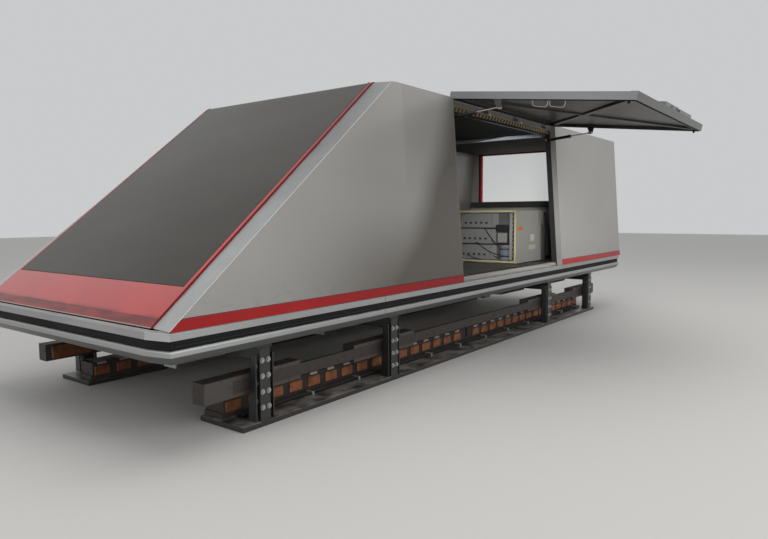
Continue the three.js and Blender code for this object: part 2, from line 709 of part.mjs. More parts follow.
const beam = { y: 470, wide: 110, rearX: -2800, frontX: 2760 };
const stations = [-2350, -1250, 0, 1250, 2350];
const bearerWide = 100;
const carrier = {
  wide: 70, outer: 900, leg: 70, foot: 560, armInner: 600, armTall: 60, footTall: 28, reach: 2500,
};
const frameTop = level.deckBottom - GAP;
addPart(car, 'underframe', join([
  ...[-1, 1].map((edge) => block(
    [beam.rearX, beam.frontX], [edge * beam.y - beam.wide / 2, edge * beam.y + beam.wide / 2],
    [level.frameBottom, frameTop])),
  ...stations.map((x) => block(
    [x - bearerWide / 2, x + bearerWide / 2],
    [-carrier.outer, carrier.outer],
    [level.frameBottom, frameTop])),
]), finish.black);
const converter = { rearX: -1100, frontX: -160, half: 380, bottom: -92 };
addPart(car, 'converter_box', block(
  [converter.rearX, converter.frontX], [-converter.half, converter.half],
  [converter.bottom, level.frameBottom - GAP]), finish.black);

// Levitation gear on each side: arms reach down outside the guideway and in below its flange, a
// sole joins them along the foot, and magnets line the sole and the legs

const gearStations = stations.filter((x) => x !== 0);
const soleTop = level.ground + carrier.footTall;
const legInner = carrier.outer - carrier.leg;

const magnetCarrier = () => {
  const armTop = level.frameBottom - GAP;
  const armLow = level.frameBottom - carrier.armTall;
  const arm = outline([
    [carrier.armInner, armTop], [carrier.outer, armTop], [carrier.outer, level.ground],
    [carrier.foot, level.ground], [carrier.foot, soleTop], [legInner, soleTop],
    [legInner, armLow], [carrier.armInner, armLow],
  ].reverse());
  return join([
    block([-carrier.reach, carrier.reach], [carrier.foot, carrier.outer], [level.ground, soleTop]),
    ...gearStations.map((x) => alongTheCar(arm, x - carrier.wide / 2, x + carrier.wide / 2)),
  ]);
};

const liftMagnet = { inner: 10, wide: 140, gapHalf: 12, base: 30 };
const liftMagnets = () => {
  const y = [carrier.foot + liftMagnet.inner, carrier.foot + liftMagnet.inner + liftMagnet.wide];
  const reach = carrier.reach - 20;
  const breaks = [-reach, ...stations.slice(1, -1), reach];
  return join([
    block([-reach, reach], y, [soleTop + GAP, soleTop + GAP + liftMagnet.base]),
    ...breaks.slice(1).map((end, i) => block(
      [breaks[i] + liftMagnet.gapHalf, end - liftMagnet.gapHalf], y,
      [soleTop + GAP + liftMagnet.base - 1, level.magnetFace])),
  ]);
};

const guideMagnet = { half: 320, deep: 90, low: -235, high: -130, rail: 24 };
const guideMagnets = () => {
  const face = legInner - GAP;
  return join([
    block([-carrier.reach, carrier.reach], [face - guideMagnet.rail, face],
      [guideMagnet.low + 20, guideMagnet.high - 20]),
    ...gearStations.map((x) => block(
      [x - guideMagnet.half, x + guideMagnet.half], [face - guideMagnet.deep, face - 1],
      [guideMagnet.low, guideMagnet.high])),
  ]);
};

const skid = { half: 50, shoeHalf: 260, rail: 30 };
const skids = () => {
  const y = [beam.y - skid.half, beam.y + skid.half];
  return join([
    block([-carrier.reach, carrier.reach], y, [level.frameBottom - skid.rail, level.frameBottom - GAP]),
    ...gearStations.map((x) => block(
      [x - skid.shoeHalf, x + skid.shoeHalf], y, [level.skidFace, level.frameBottom - skid.rail + 1])),
  ]);
};

sides.forEach((side) => {
  addPart(car, `magnet_carrier_${side.name}`, forSide(side, magnetCarrier()), finish.black);
  addPart(car, `lift_magnets_${side.name}`, forSide(side, liftMagnets()), finish.laminate);
  addPart(car, `guide_magnets_${side.name}`, forSide(side, guideMagnets()), finish.laminate);
  addPart(car, `skids_${side.name}`, forSide(side, skids()), finish.steel);
});

export default car;
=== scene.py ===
"""A magnetic-levitation test car, dressed around its packed construction model.

The construction model gives every rigid shape. This script finishes each of them with rounded edges
and a procedural material, adds what is too fine for it, and stands the car in a plain studio.
Lengths are in metres, +X runs to the nose, +Y to the car's left side and +Z up.
"""

from __future__ import annotations

import json
import logging
import math
from dataclasses import dataclass, replace
from enum import Enum
from functools import lru_cache
from typing import Any, Sequence

import bmesh
import bpy
from mathutils import Matrix, Vector

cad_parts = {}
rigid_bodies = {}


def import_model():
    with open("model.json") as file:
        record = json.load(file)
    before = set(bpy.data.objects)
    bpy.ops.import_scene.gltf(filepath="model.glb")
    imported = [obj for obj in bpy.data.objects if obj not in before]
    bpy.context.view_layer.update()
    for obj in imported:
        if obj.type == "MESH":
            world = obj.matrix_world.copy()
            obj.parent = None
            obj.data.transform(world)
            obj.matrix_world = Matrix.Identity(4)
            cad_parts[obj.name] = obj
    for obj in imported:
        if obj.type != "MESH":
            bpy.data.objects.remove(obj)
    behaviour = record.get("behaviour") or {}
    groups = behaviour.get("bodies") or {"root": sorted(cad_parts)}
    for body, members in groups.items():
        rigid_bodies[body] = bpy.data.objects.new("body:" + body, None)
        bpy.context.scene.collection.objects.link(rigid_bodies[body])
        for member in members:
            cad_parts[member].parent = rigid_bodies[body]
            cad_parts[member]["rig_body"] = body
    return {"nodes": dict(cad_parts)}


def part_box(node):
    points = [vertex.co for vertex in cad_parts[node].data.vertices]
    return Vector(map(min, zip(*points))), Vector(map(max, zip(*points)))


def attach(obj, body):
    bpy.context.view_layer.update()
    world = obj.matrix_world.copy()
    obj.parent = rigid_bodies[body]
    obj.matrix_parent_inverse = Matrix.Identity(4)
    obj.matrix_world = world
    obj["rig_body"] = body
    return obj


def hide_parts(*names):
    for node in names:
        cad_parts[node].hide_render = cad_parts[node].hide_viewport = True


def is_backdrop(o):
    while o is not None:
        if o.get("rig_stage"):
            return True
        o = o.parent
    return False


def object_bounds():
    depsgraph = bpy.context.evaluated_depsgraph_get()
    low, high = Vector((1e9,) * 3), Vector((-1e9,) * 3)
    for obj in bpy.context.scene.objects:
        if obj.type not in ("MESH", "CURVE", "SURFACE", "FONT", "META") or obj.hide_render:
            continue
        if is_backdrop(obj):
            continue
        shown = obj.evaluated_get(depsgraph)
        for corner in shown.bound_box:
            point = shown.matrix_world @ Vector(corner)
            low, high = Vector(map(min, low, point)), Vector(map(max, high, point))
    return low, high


LOG = logging.getLogger("test_car")
Point = Sequence[float]


# Shader maths


class Signal:
    """A number socket that takes part in arithmetic, each operation adding a Math node."""

    def __init__(self, graph: "Graph", socket: Any) -> None:
        """Wraps a socket.

        Args:
            graph: the node tree that the socket belongs to.
            socket: the output socket that carries the number.
        """
        self.graph = graph
        self.socket = socket

    def _math(self, operation: str, *others: Any, first: Any = None) -> "Signal":
        """Adds one Math node.

        Args:
            operation: the node's operation.
            others: the second and third values, as signals or numbers.
            first: what takes the first place instead of this signal.

        Returns:
            The node's result.
        """
        values = [self if first is None else first, *others]
        node = self.graph.add("ShaderNodeMath", {"operation": operation}, dict(enumerate(values)))
        return Signal(self.graph, node.outputs[0])

    def __add__(self, other: Any) -> "Signal":
        """This plus other."""
        return self._math("ADD", other)

    __radd__ = __add__

    def __sub__(self, other: Any) -> "Signal":
        """This minus other."""
        return self._math("SUBTRACT", other)

    def __rsub__(self, other: Any) -> "Signal":
        """Other minus this."""
        return self._math("SUBTRACT", self, first=other)

    def __mul__(self, other: Any) -> "Signal":
        """This times other."""
        return self._math("MULTIPLY", other)

    __rmul__ = __mul__

    def __truediv__(self, other: Any) -> "Signal":
        """This divided by other."""
        return self._math("DIVIDE", other)

    def __abs__(self) -> "Signal":
        """This without its sign."""
        return self._math("ABSOLUTE")

    def sine(self) -> "Signal":
        """The sine of this."""
        return self._math("SINE")

    def above(self, edge: Any) -> "Signal":
        """One where this is greater than edge, and zero elsewhere."""
        return self._math("GREATER_THAN", edge)

    def below(self, edge: Any) -> "Signal":
        """One where this is less than edge, and zero elsewhere."""
        return self._math("LESS_THAN", edge)

    def repeat(self, period: float) -> "Signal":
        """This, wrapped into zero to period."""
        return self._math("WRAP", 0.0, period)

    def smaller(self, other: Any) -> "Signal":
        """The smaller of this and other."""
        return self._math("MINIMUM", other)

    def ramp(self, low: float, high: float) -> "Signal":
        """Zero at low and one at high, with soft ends.

        Args:
            low: where the ramp starts.
            high: where it ends, which may be the lower number.

        Returns:
            The ramp.
        """
        values = {"Value": self, "From Min": low, "From Max": high}
        node = self.graph.add("ShaderNodeMapRange", {"interpolation_type": "SMOOTHSTEP"}, values)
        return Signal(self.graph, node.outputs["Result"])


class Graph:
    """The node tree of one material while it is being put together."""

    def __init__(self, name: str) -> None:
        """Starts a material with only its output node.

        Args:
            name: the material's name.
        """
        self.material = bpy.data.materials.new(name)
        self.material.use_nodes = True
        self.tree = self.material.node_tree
        self.tree.nodes.clear()
        self.output = self.tree.nodes.new("ShaderNodeOutputMaterial")
        self.place = self.add("ShaderNodeTexCoord").outputs["Object"]

    def add(self, kind: str, settings: dict[str, Any] | None = None,
            values: dict[Any, Any] | None = None) -> Any:
        """Adds a node.

        Args:
            kind: the node's type.
            settings: properties that are set first.
            values: what goes into its inputs, by name or number: signals, sockets or plain values.

        Returns:
            The node.
        """
        node = self.tree.nodes.new(kind)
        for key, value in (settings or {}).items():
            setattr(node, key, value)
        for key, value in (values or {}).items():
            self._feed(node.inputs[key], value)
        return node

    def _feed(self, socket: Any, value: Any) -> None:
        """Gives an input its value.

        Args:
            socket: the input.
            value: a signal, a socket, three numbers for a colour, or another plain value.
        """
        if isinstance(value, Signal):
            value = value.socket
        if isinstance(value, bpy.types.NodeSocket):
            self.tree.links.new(value, socket)
        else:
            socket.default_value = (*value, 1.0) if socket.type == "RGBA" else value

    def axes(self) -> tuple[Signal, Signal, Signal]:
        """The place on the object along X, Y and Z, in metres."""
        node = self.add("ShaderNodeSeparateXYZ", values={0: self.place})
        return tuple(Signal(self, socket) for socket in node.outputs)

    def facing(self) -> tuple[Signal, Signal, Signal]:
        """The surface's own direction along X, Y and Z."""
        normal = self.add("ShaderNodeTexCoord").outputs["Normal"]
        node = self.add("ShaderNodeSeparateXYZ", values={0: normal})
        return tuple(Signal(self, socket) for socket in node.outputs)

    def noise(self, size: float, stretch: Point = (1.0, 1.0, 1.0), detail: float = 3.0) -> Signal:
        """Noise whose blotches are about size across.

        Args:
            size: the blotches' size in metres.
            stretch: how many times longer they are along X, Y and Z.
            detail: how many finer layers there are.

        Returns:
            The noise, from about 0.3 to 0.7.
        """
        scale = tuple(1.0 / (size * times) for times in stretch)
        mapping = self.add("ShaderNodeMapping", values={"Vector": self.place, "Scale": scale})
        values = {"Vector": mapping.outputs[0], "Scale": 1.0, "Detail": detail, "Roughness": 0.55}
        return Signal(self, self.add("ShaderNodeTexNoise", values=values).outputs[0])

    def cells(self, size: float) -> Signal:
        """The distance within a pattern of cells about size across."""
        mapping = self.add("ShaderNodeMapping", values={"Vector": self.place, "Scale": (1.0 / size,) * 3})
        node = self.add("ShaderNodeTexVoronoi", values={"Vector": mapping.outputs[0], "Scale": 1.0})
        return Signal(self, node.outputs["Distance"])

    def mix(self, share: Any, first: Any, second: Any) -> Any:
        """Mixes two colours.

        Args:
            share: how much of the second there is.
            first: the first colour, as three numbers or a socket.
            second: the second colour.

        Returns:
            The mixed colour's socket.
        """
        settings = {"data_type": "RGBA", "clamp_factor": True}
        return self.add("ShaderNodeMix", settings, {0: share, 6: first, 7: second}).outputs[2]

    def bump(self, height: Signal, distance: float, strength: float = 1.0, under: Any = None) -> Any:
        """Turns a height into a normal.

        Args:
            height: the height, from zero to one.
            distance: how far a height of one stands out, in metres.
            strength: how strongly the surface follows it.
            under: another bump's normal below this one.

        Returns:
            The normal's socket.
        """
        values = {"Height": height, "Distance": distance, "Strength": strength}
        if under is not None:
            values["Normal"] = under
        return self.add("ShaderNodeBump", values=values).outputs[0]

    def surface(self, colour: Any, rough: Any, **others: Any) -> bpy.types.Material:
        """Ends the material with one Principled surface.

        Args:
            colour: three numbers or a colour socket.
            rough: the roughness.
            others: further inputs by name, with underscores for spaces.

        Returns:
            The finished material.
        """
        values = {"Base Color": colour, "Roughness": rough}
        values.update({key.replace("_", " "): value for key, value in others.items()})
        node = self.add("ShaderNodeBsdfPrincipled", values=values)
        self.tree.links.new(node.outputs[0], self.output.inputs[0])
        return self.material


# Finishes


@dataclass(frozen=True)
class Finish:
    """The base of every finish: a name, a colour and how the surface is painted."""

    name: str
    colour: tuple[float, float, float]
    slot: str

    def tone(self, times: float) -> tuple[float, ...]:
        """The finish's own colour, made lighter or darker."""
        return tuple(min(1.0, part * times) for part in self.colour)

    def paint(self) -> bpy.types.Material:
        """Builds the surface."""
        return Graph(self.name).surface(self.colour, 0.8)


@lru_cache(maxsize=None)
def material_of(finish: Finish) -> bpy.types.Material:
    """The material of a finish, built once."""
    return finish.paint()


@dataclass(frozen=True)
class SatinPaint(Finish):
    """Sprayed satin paint on sheet metal, with a fine orange-peel and a little dust where it faces up."""

    rough: float = 0.4
    metal: float = 0.0
    coat: float = 0.3
    dust: float = 0.25
    wear: float = 0.0

    def paint(self) -> bpy.types.Material:
        """Builds the paint.

        Returns:
            The finished material.
        """
        graph = Graph(self.name)
        _, _, up = graph.facing()
        broad = graph.noise(0.9, detail=2.0)
        fine = graph.noise(0.0035, detail=1.0)
        streaks = graph.noise(0.05, stretch=(1.0, 1.0, 12.0))
        base = graph.mix(broad.ramp(0.35, 0.65), self.tone(0.95), self.tone(1.05))
        base = graph.mix(streaks.ramp(0.5, 0.8) * 0.12, base, self.tone(0.7))
        dusty = up.ramp(0.3, 0.95) * self.dust * graph.noise(0.12).ramp(0.3, 0.7)
        base = graph.mix(dusty, base, (0.42, 0.40, 0.36))
        if self.wear:
            chips = graph.cells(0.02).below(0.1) * graph.noise(0.3).above(0.62) * self.wear
            base = graph.mix(chips, base, (0.35, 0.34, 0.33))
        rough = self.rough + (fine - 0.5) * 0.12 + dusty * 0.5
        peel = graph.bump(graph.noise(0.006, detail=0.0), 0.00012, 0.35)
        return graph.surface(base, rough, Metallic=self.metal, Coat_Weight=self.coat, Coat_Roughness=0.16,
                             Normal=peel)


@dataclass(frozen=True)
class PanelPaint(Finish):
    """The cabin's warm grey metallic paint, with painted shade by the front doorway, a painted highlight near
    the nose and painted shade on door edges.
    """

    jamb_x: float = 0.573
    seam_highlight_x: float = 1.195
    foot: float = 0.232
    painted_shade_colour: Point = (0.068, 0.057, 0.046)
    dust: Point = (0.45, 0.43, 0.39)
    painted_edge_shades: tuple[Point, Point] = ((0.080, 0.077, 0.066), (0.190, 0.200, 0.212))
    outer: Point | None = None

    def paint(self) -> bpy.types.Material:
        """Builds the paint.

        Returns:
            The finished material.
        """
        graph = Graph(self.name)
        x, _, z = graph.axes()
        ahead, out, up = graph.facing()
        broad = graph.noise(1.1, detail=2.0)
        flake = graph.noise(0.0022, detail=0.0)
        base = graph.mix(broad.ramp(0.35, 0.65), self.tone(0.94), self.tone(1.06))
        base = graph.mix((flake - 0.5) * 0.5 + 0.5, self.tone(0.92), base)
        splash = (z - self.foot).ramp(0.16, 0.0) * graph.noise(0.03, stretch=(2.0, 2.0, 1.0)).ramp(0.45, 0.75)
        base = graph.mix(splash * 0.3, base, self.tone(0.6))
        # Painted shade and reflection: the near wall grows darker and browner towards the front doorway and
        # towards its foot.
        dim = x.ramp(2.6, 1.2) * (0.14 - z.ramp(0.88, 1.08) * 0.18 + z.ramp(0.8, 0.2) * 0.68)
        dim = dim + (x + (z - 1.09) * 0.55).ramp(1.0, 0.60) * (0.40 + z.ramp(0.35, 0.85) * 0.46)
        painted_shade = dim.smaller(0.88) * (x - self.jamb_x).above(-0.002) * out.ramp(0.5, 0.9)
        base = graph.mix(painted_shade, base, self.painted_shade_colour)
        # Painted highlight: a lighter band that starts sharply at a vertical line and fades over 0.4 m
        # towards the nose, high on the near wall only.
        past = x - self.seam_highlight_x
        seam_and_highlight = past.ramp(-0.004, 0.004) * past.ramp(0.40, 0.0) * z.ramp(0.75, 1.1) * out.above(0.5)
        base = graph.mix(seam_and_highlight * 0.16, base, self.tone(1.5))
        runs = graph.noise(0.035, stretch=(1.0, 1.0, 20.0)).ramp(0.58, 0.8) * graph.noise(0.7).ramp(0.5, 0.7)
        base = graph.mix(runs * 0.18, base, self.tone(0.65))
        scratch = graph.noise(0.0016, stretch=(90.0, 90.0, 1.0)).above(0.71) * graph.noise(0.25).above(0.6)
        dusty = up.ramp(0.4, 0.95) * graph.noise(0.2).ramp(0.25, 0.7)
        base = graph.mix(dusty * 0.35, base, self.dust)
        base = graph.mix(scratch * 0.35, base, self.tone(1.5))
        # Painted shade: the door's edge faces, square to its outer face, are painted darker, the foot and top
        # edges darker than the ends.
        if self.outer:
            edge = abs(out * self.outer[1] + up * self.outer[2]).ramp(0.7, 0.4)
            edge_shade = graph.mix(abs(ahead).ramp(0.4, 0.8), *self.painted_edge_shades)
            base = graph.mix(edge, base, edge_shade)
        rough = 0.36 + (flake - 0.5) * 0.1 + dusty * 0.3 + painted_shade * 0.15 + graph.noise(0.5) * 0.06
        waves = graph.bump(graph.noise(0.55, detail=0.0), 0.004, 0.5)
        peel = graph.bump(graph.noise(0.007, detail=0.0), 0.0001, 0.3, under=waves)
        return graph.surface(base, rough, Metallic=0.45, Coat_Weight=0.35, Coat_Roughness=0.12, Normal=peel)


@dataclass(frozen=True)
class Aluminium(Finish):
    """Drawn aluminium with long brushing lines, handling marks and soft smears, and painted shade at the top
    and underneath.
    """

    rough: float = 0.3
    brushing: float = 1.0
    top_shade: float = 0.0
    under_shade: float = 0.0

    def paint(self) -> bpy.types.Material:
        """Builds the metal.

        Returns:
            The finished material.
        """
        graph = Graph(self.name)
        _, _, z = graph.axes()
        _, _, up = graph.facing()
        lines = graph.noise(0.0009, stretch=(400.0, 400.0, 1.0), detail=2.0)
        smear = graph.noise(0.16, stretch=(2.5, 2.5, 1.0))
        marks = graph.noise(0.012).above(0.70) * graph.noise(0.5).above(0.55)
        base = graph.mix(smear.ramp(0.3, 0.7), self.tone(0.95), self.tone(1.04))
        base = graph.mix(lines.ramp(0.35, 0.65) * 0.14 * self.brushing, base, self.tone(0.7))
        base = graph.mix(marks * 0.25, base, self.tone(0.6))
        dusty = up.ramp(0.4, 0.95) * graph.noise(0.1).ramp(0.3, 0.7)
        base = graph.mix(dusty * 0.3, base, (0.35, 0.33, 0.3))
        # Painted shade: darker towards the top by top_shade, and on faces that look down by under_shade.
        base = graph.mix(z.ramp(0.3, 1.3) * self.top_shade, base, self.tone(0.2))
        base = graph.mix(up.ramp(-0.15, -0.5) * self.under_shade, base, self.tone(0.15))
        rough = self.rough + smear * 0.14 + (lines - 0.5) * 0.2 * self.brushing + dusty * 0.25
        brushed = graph.bump(lines, 0.00005, 0.4 * self.brushing)
        return graph.surface(base, rough, Metallic=0.85, Normal=brushed)


@dataclass(frozen=True)
class TintedGlass(Finish):
    """Dark tinted acrylic that mirrors the hall, a little wavy, with dust and wiping marks."""

    clear: float = 0.0

    def paint(self) -> bpy.types.Material:
        """Builds the glass.

        Returns:
            The finished material.
        """
        graph = Graph(self.name)
        _, _, up = graph.facing()
        specks = graph.cells(0.035).below(0.035) * graph.noise(0.4).above(0.45)
        haze = graph.noise(0.22, stretch=(1.0, 3.0, 1.0)).ramp(0.4, 0.75)
        base = graph.mix(haze * 0.35, self.colour, self.tone(2.0))
        base = graph.mix(specks * 0.5, base, (0.25, 0.24, 0.22))
        rough = 0.05 + haze * 0.06 + specks * 0.4
        wave = graph.bump(graph.noise(0.6, stretch=(1.0, 1.6, 1.0), detail=0.0), 0.012, 0.6)
        return graph.surface(base, rough, IOR=1.47, Alpha=1.0 - self.clear, Normal=wave)


@dataclass(frozen=True)
class ClearGlass(Finish):
    """A clear window pane, faintly dusty."""

    def paint(self) -> bpy.types.Material:
        """Builds the pane."""
        graph = Graph(self.name)
        haze = graph.noise(0.18).ramp(0.4, 0.8)
        return graph.surface(self.colour, 0.03 + haze * 0.08, IOR=1.45, Alpha=0.10)


@dataclass(frozen=True)
class RedFilm(Finish):
    """Glossy red film, faded a little in blotches, with smudges along its edges; painted shade darkens it by
    the front doorway and, where it has a lip, on the lip and towards the top.
    """

    rough: float = 0.24
    smudge: float = 0.3
    coat: float = 0.5
    shine: float = 0.5
    lip_z: float = 0.0

    def paint(self) -> bpy.types.Material:
        """Builds the film.

        Returns:
            The finished material.
        """
        graph = Graph(self.name)
        x, _, z = graph.axes()
        blotch = graph.noise(0.35, detail=2.0)
        grain = graph.noise(0.02, stretch=(6.0, 6.0, 1.0)).ramp(0.5, 0.8)
        base = graph.mix(blotch.ramp(0.35, 0.7), self.tone(0.95), self.tone(1.05))
        base = graph.mix(grain * self.smudge, base, self.tone(0.45))
        # Painted shade: darker towards the front doorway, ahead of it only.
        wear_and_painted_shade = x.ramp(2.3, 0.8) * x.above(0.57) * 0.35
        base = graph.mix(wear_and_painted_shade, base, self.tone(0.25))
        coat = self.coat
        if self.lip_z:
            # Painted shade on the lip below the fold, with real smudges in it; the crease darkens where
            # smudged, partly smudge and partly painted shade.
            lip = z.ramp(self.lip_z + 0.001, self.lip_z - 0.003)
            smears = graph.noise(0.04, stretch=(1.0, 5.0, 1.0)).ramp(0.35, 0.6)
            crease = abs(z - self.lip_z).ramp(0.014, 0.0)
            base = graph.mix(lip * (0.6 + smears * 0.3), base, (0.12, 0.022, 0.020))
            base = graph.mix(crease * smears * 0.5, base, self.tone(0.25))
            # Painted shade towards the top, where the coat's reflection is weakened too.
            top = z.ramp(0.38, 1.3)
            base = graph.mix(top * 0.7, base, (0.09, 0.005, 0.005))
            coat = (1.0 - lip) * (1.0 - top * 0.8) * self.coat
        rough = self.rough + grain * 0.1 + (blotch - 0.5) * 0.06
        wave = graph.bump(graph.noise(0.3, detail=0.0), 0.002, 0.4)
        return graph.surface(base, rough, Coat_Weight=coat, Coat_Roughness=0.08,
                             Specular_IOR_Level=self.shine, Normal=wave)


@dataclass(frozen=True)
class Rubber(Finish):
    """Black rubber, slightly chalky with dust in its grain."""

    def paint(self) -> bpy.types.Material:
        """Builds the rubber.

        Returns:
            The finished material.
        """
        graph = Graph(self.name)
        _, _, up = graph.facing()
        chalk = graph.noise(0.06, stretch=(4.0, 4.0, 1.0)).ramp(0.4, 0.75)
        dusty = up.ramp(0.3, 0.9) * 0.3 + chalk * 0.04
        base = graph.mix(dusty, self.colour, (0.12, 0.115, 0.11))
        grain = graph.bump(graph.noise(0.0012, detail=1.0), 0.0002, 0.4)
        return graph.surface(base, 0.62 + chalk * 0.2, Specular_IOR_Level=0.2, Normal=grain)


@dataclass(frozen=True)
class HazardTape(Finish):
    """Slanted black and yellow stripes, scuffed and faded."""

    period: float = 0.052
    share: float = 0.5

    def paint(self) -> bpy.types.Material:
        """Builds the tape.

        Returns:
            The finished material.
        """
        graph = Graph(self.name)
        x, _, z = graph.axes()
        slanted = (x + z * 0.9).repeat(self.period)
        black = slanted.below(self.period * self.share)
        scuffs = graph.noise(0.01).ramp(0.5, 0.75)
        yellow = graph.mix(scuffs * 0.5, self.colour, (0.16, 0.13, 0.08))
        base = graph.mix(black, yellow, (0.012, 0.011, 0.010))
        return graph.surface(base, 0.45 + scuffs * 0.3)


@dataclass(frozen=True)
class WovenCloth(Finish):
    """Coarse woven seat cloth with a flecked yarn."""

    yarn: float = 0.0024

    def paint(self) -> bpy.types.Material:
        """Builds the cloth.

        Returns:
            The finished material.
        """
        graph = Graph(self.name)
        x, y, z = graph.axes()
        across = (y / self.yarn).sine()
        along = ((x + z) / self.yarn).sine()
        weave = across * along * 0.5 + 0.5
        fleck = graph.noise(0.004, stretch=(1.0, 3.0, 1.0)).above(0.62)
        # Lighter worn patches of the cloth: real wear.
        wear_and_painted_shade = graph.noise(0.2).ramp(0.45, 0.7)
        base = graph.mix(weave, self.tone(0.55), self.tone(1.25))
        base = graph.mix(fleck * 0.35, base, (0.20, 0.17, 0.16))
        base = graph.mix(wear_and_painted_shade * 0.2, base, self.tone(1.8))
        height = graph.bump(weave, 0.0006, 0.6)
        return graph.surface(base, 0.9, Sheen_Weight=0.25, Normal=height)


@dataclass(frozen=True)
class Copper(Finish):
    """Enamelled copper winding, its turns showing as fine lines."""

    turn: float = 0.004

    def paint(self) -> bpy.types.Material:
        """Builds the winding.

        Returns:
            The finished material.
        """
        graph = Graph(self.name)
        _, _, z = graph.axes()
        wave = (z * (math.tau / self.turn)).sine() * 0.5 + 0.5
        dirt = graph.noise(0.05).ramp(0.4, 0.7)
        base = graph.mix(wave, self.tone(0.5), self.colour)
        base = graph.mix(dirt * 0.5, base, (0.05, 0.035, 0.025))
        return graph.surface(base, 0.38 + dirt * 0.3, Metallic=0.5, Normal=graph.bump(wave, 0.0008, 0.7))


@dataclass(frozen=True)
class Laminations(Finish):
    """A stack of thin iron sheets seen on its cut face."""

    sheet: float = 0.003

    def paint(self) -> bpy.types.Material:
        """Builds the stack.

        Returns:
            The finished material.
        """
        graph = Graph(self.name)
        _, y, _ = graph.axes()
        wave = (y * (math.tau / self.sheet)).sine() * 0.5 + 0.5
        rust = graph.noise(0.03).ramp(0.5, 0.7)
        base = graph.mix(wave, self.tone(0.5), self.colour)
        base = graph.mix(rust * 0.5, base, (0.10, 0.05, 0.03))
        return graph.surface(base, 0.5 + rust * 0.3, Metallic=0.6, Normal=graph.bump(wave, 0.0003, 0.5))


PANEL = PanelPaint("panel_paint", (0.33, 0.32, 0.30), "panel")
SILVER = Aluminium("silver_strip", (0.55, 0.56, 0.56), "silver", rough=0.34, brushing=0.3, top_shade=0.65)
BAND = Aluminium("band_aluminium", (0.42, 0.43, 0.43), "band", rough=0.28, brushing=0.6, under_shade=0.8)
SCREEN = TintedGlass("tinted_screen", (0.026, 0.022, 0.015), "glass", clear=0.03)
PANE = ClearGlass("clear_pane", (0.80, 0.84, 0.82), "glass")
RED = RedFilm("red_film", (0.30, 0.010, 0.011), "red", rough=0.34, smudge=0.2, coat=0.08, shine=0.2)
SCREEN_RED = RedFilm("screen_red_film", (0.44, 0.036, 0.034), "red", rough=0.16, smudge=0.05, lip_z=0.221)
RUBBER = Rubber("black_rubber", (0.006, 0.006, 0.006), "rubber")
DARK = SatinPaint("dark_paint", (0.028, 0.028, 0.026), "dark", rough=0.46, coat=0.1)
BLACK = SatinPaint("black_paint", (0.016, 0.016, 0.016), "black", rough=0.45, dust=0.5, wear=0.6)
GLOSS_BLACK = SatinPaint("gloss_black", (0.006, 0.006, 0.006), "black", rough=0.22, coat=0.6)
LINING = SatinPaint("door_lining", (0.045, 0.044, 0.038), "dark", rough=0.4, metal=0.1, coat=0.1)
CREAM = SatinPaint("cream_laminate", (0.58, 0.56, 0.48), "cream", rough=0.45, dust=0.5)
CABINET = SatinPaint("cabinet_paint", (0.37, 0.36, 0.33), "cabinet", rough=0.45)
UNIT = SatinPaint("unit_paint", (0.07, 0.07, 0.07), "black", rough=0.4)
STEEL = Aluminium("bright_steel", (0.55, 0.55, 0.53), "steel", rough=0.24, brushing=0.4)
ZINC = Aluminium("zinc_steel", (0.42, 0.42, 0.40), "steel", rough=0.42, brushing=0.2)
WHITE = SatinPaint("white_bracket", (0.62, 0.62, 0.60), "cream", rough=0.4)
YELLOW = SatinPaint("yellow_edging", (0.34, 0.28, 0.03), "cream", rough=0.5)
ORANGE = SatinPaint("orange_label", (0.75, 0.16, 0.02), "cream", rough=0.5)
# Painted shade: a darker copy of the red film for the side face of the proud windscreen pane.
SHADED_PANE_EDGE = RedFilm("pane_edge_red", (0.19, 0.005, 0.007), "red", rough=0.3, coat=0.05, shine=0.2)
LIP_EDGE = SatinPaint("chipped_edge", (0.40, 0.36, 0.30), "cream", rough=0.5, wear=1.0)
GRIP = SatinPaint("grip_paint", (0.13, 0.145, 0.16), "silver", rough=0.4, metal=0.2)
CEILING = SatinPaint("ceiling_black", (0.007, 0.007, 0.006), "black", rough=0.75, coat=0.0, dust=0.0)
SILL = SatinPaint("sill_paint", (0.27, 0.26, 0.23), "cream", rough=0.5, dust=0.5)
STRIP = SatinPaint("pale_strip", (0.42, 0.46, 0.50), "silver", rough=0.35, metal=0.3)
UNIT_FACE = SatinPaint("unit_face_paint", (0.16, 0.16, 0.155), "cabinet", rough=0.4)
DOOR_FRAME = SatinPaint("door_frame_paint", (0.035, 0.034, 0.030), "dark", rough=0.4, metal=0.1, coat=0.1)
CONVERTER = SatinPaint("converter_paint", (0.10, 0.105, 0.11), "black", rough=0.42, dust=0.4)
SKID_SHOE = SatinPaint("skid_shoe_compound", (0.05, 0.045, 0.04), "dark", rough=0.7, coat=0.0)
FLOOR = Finish("pale_floor", (0.55, 0.54, 0.52), "cream")
HAZARD = HazardTape("hazard_tape", (0.36, 0.24, 0.09), "cream")
CLOTH = WovenCloth("seat_cloth", (0.035, 0.042, 0.052), "cloth")
COPPER = Copper("copper_winding", (0.42, 0.16, 0.07), "laminate")
LAMINATE = Laminations("iron_laminations", (0.09, 0.08, 0.075), "laminate")


# Bench work: operators that shape a piece


class Axis(Enum):
    """A direction that an outline is drawn out along, with the two axes that it is drawn in."""

    X = (1, 2, 0)
    Y = (0, 2, 1)
    Z = (0, 1, 2)


@dataclass(frozen=True)
class Side:
    """The left or right side of the car."""

    name: str
    sign: int
    open: bool


SIDES = (Side("left", 1, True), Side("right", -1, False))


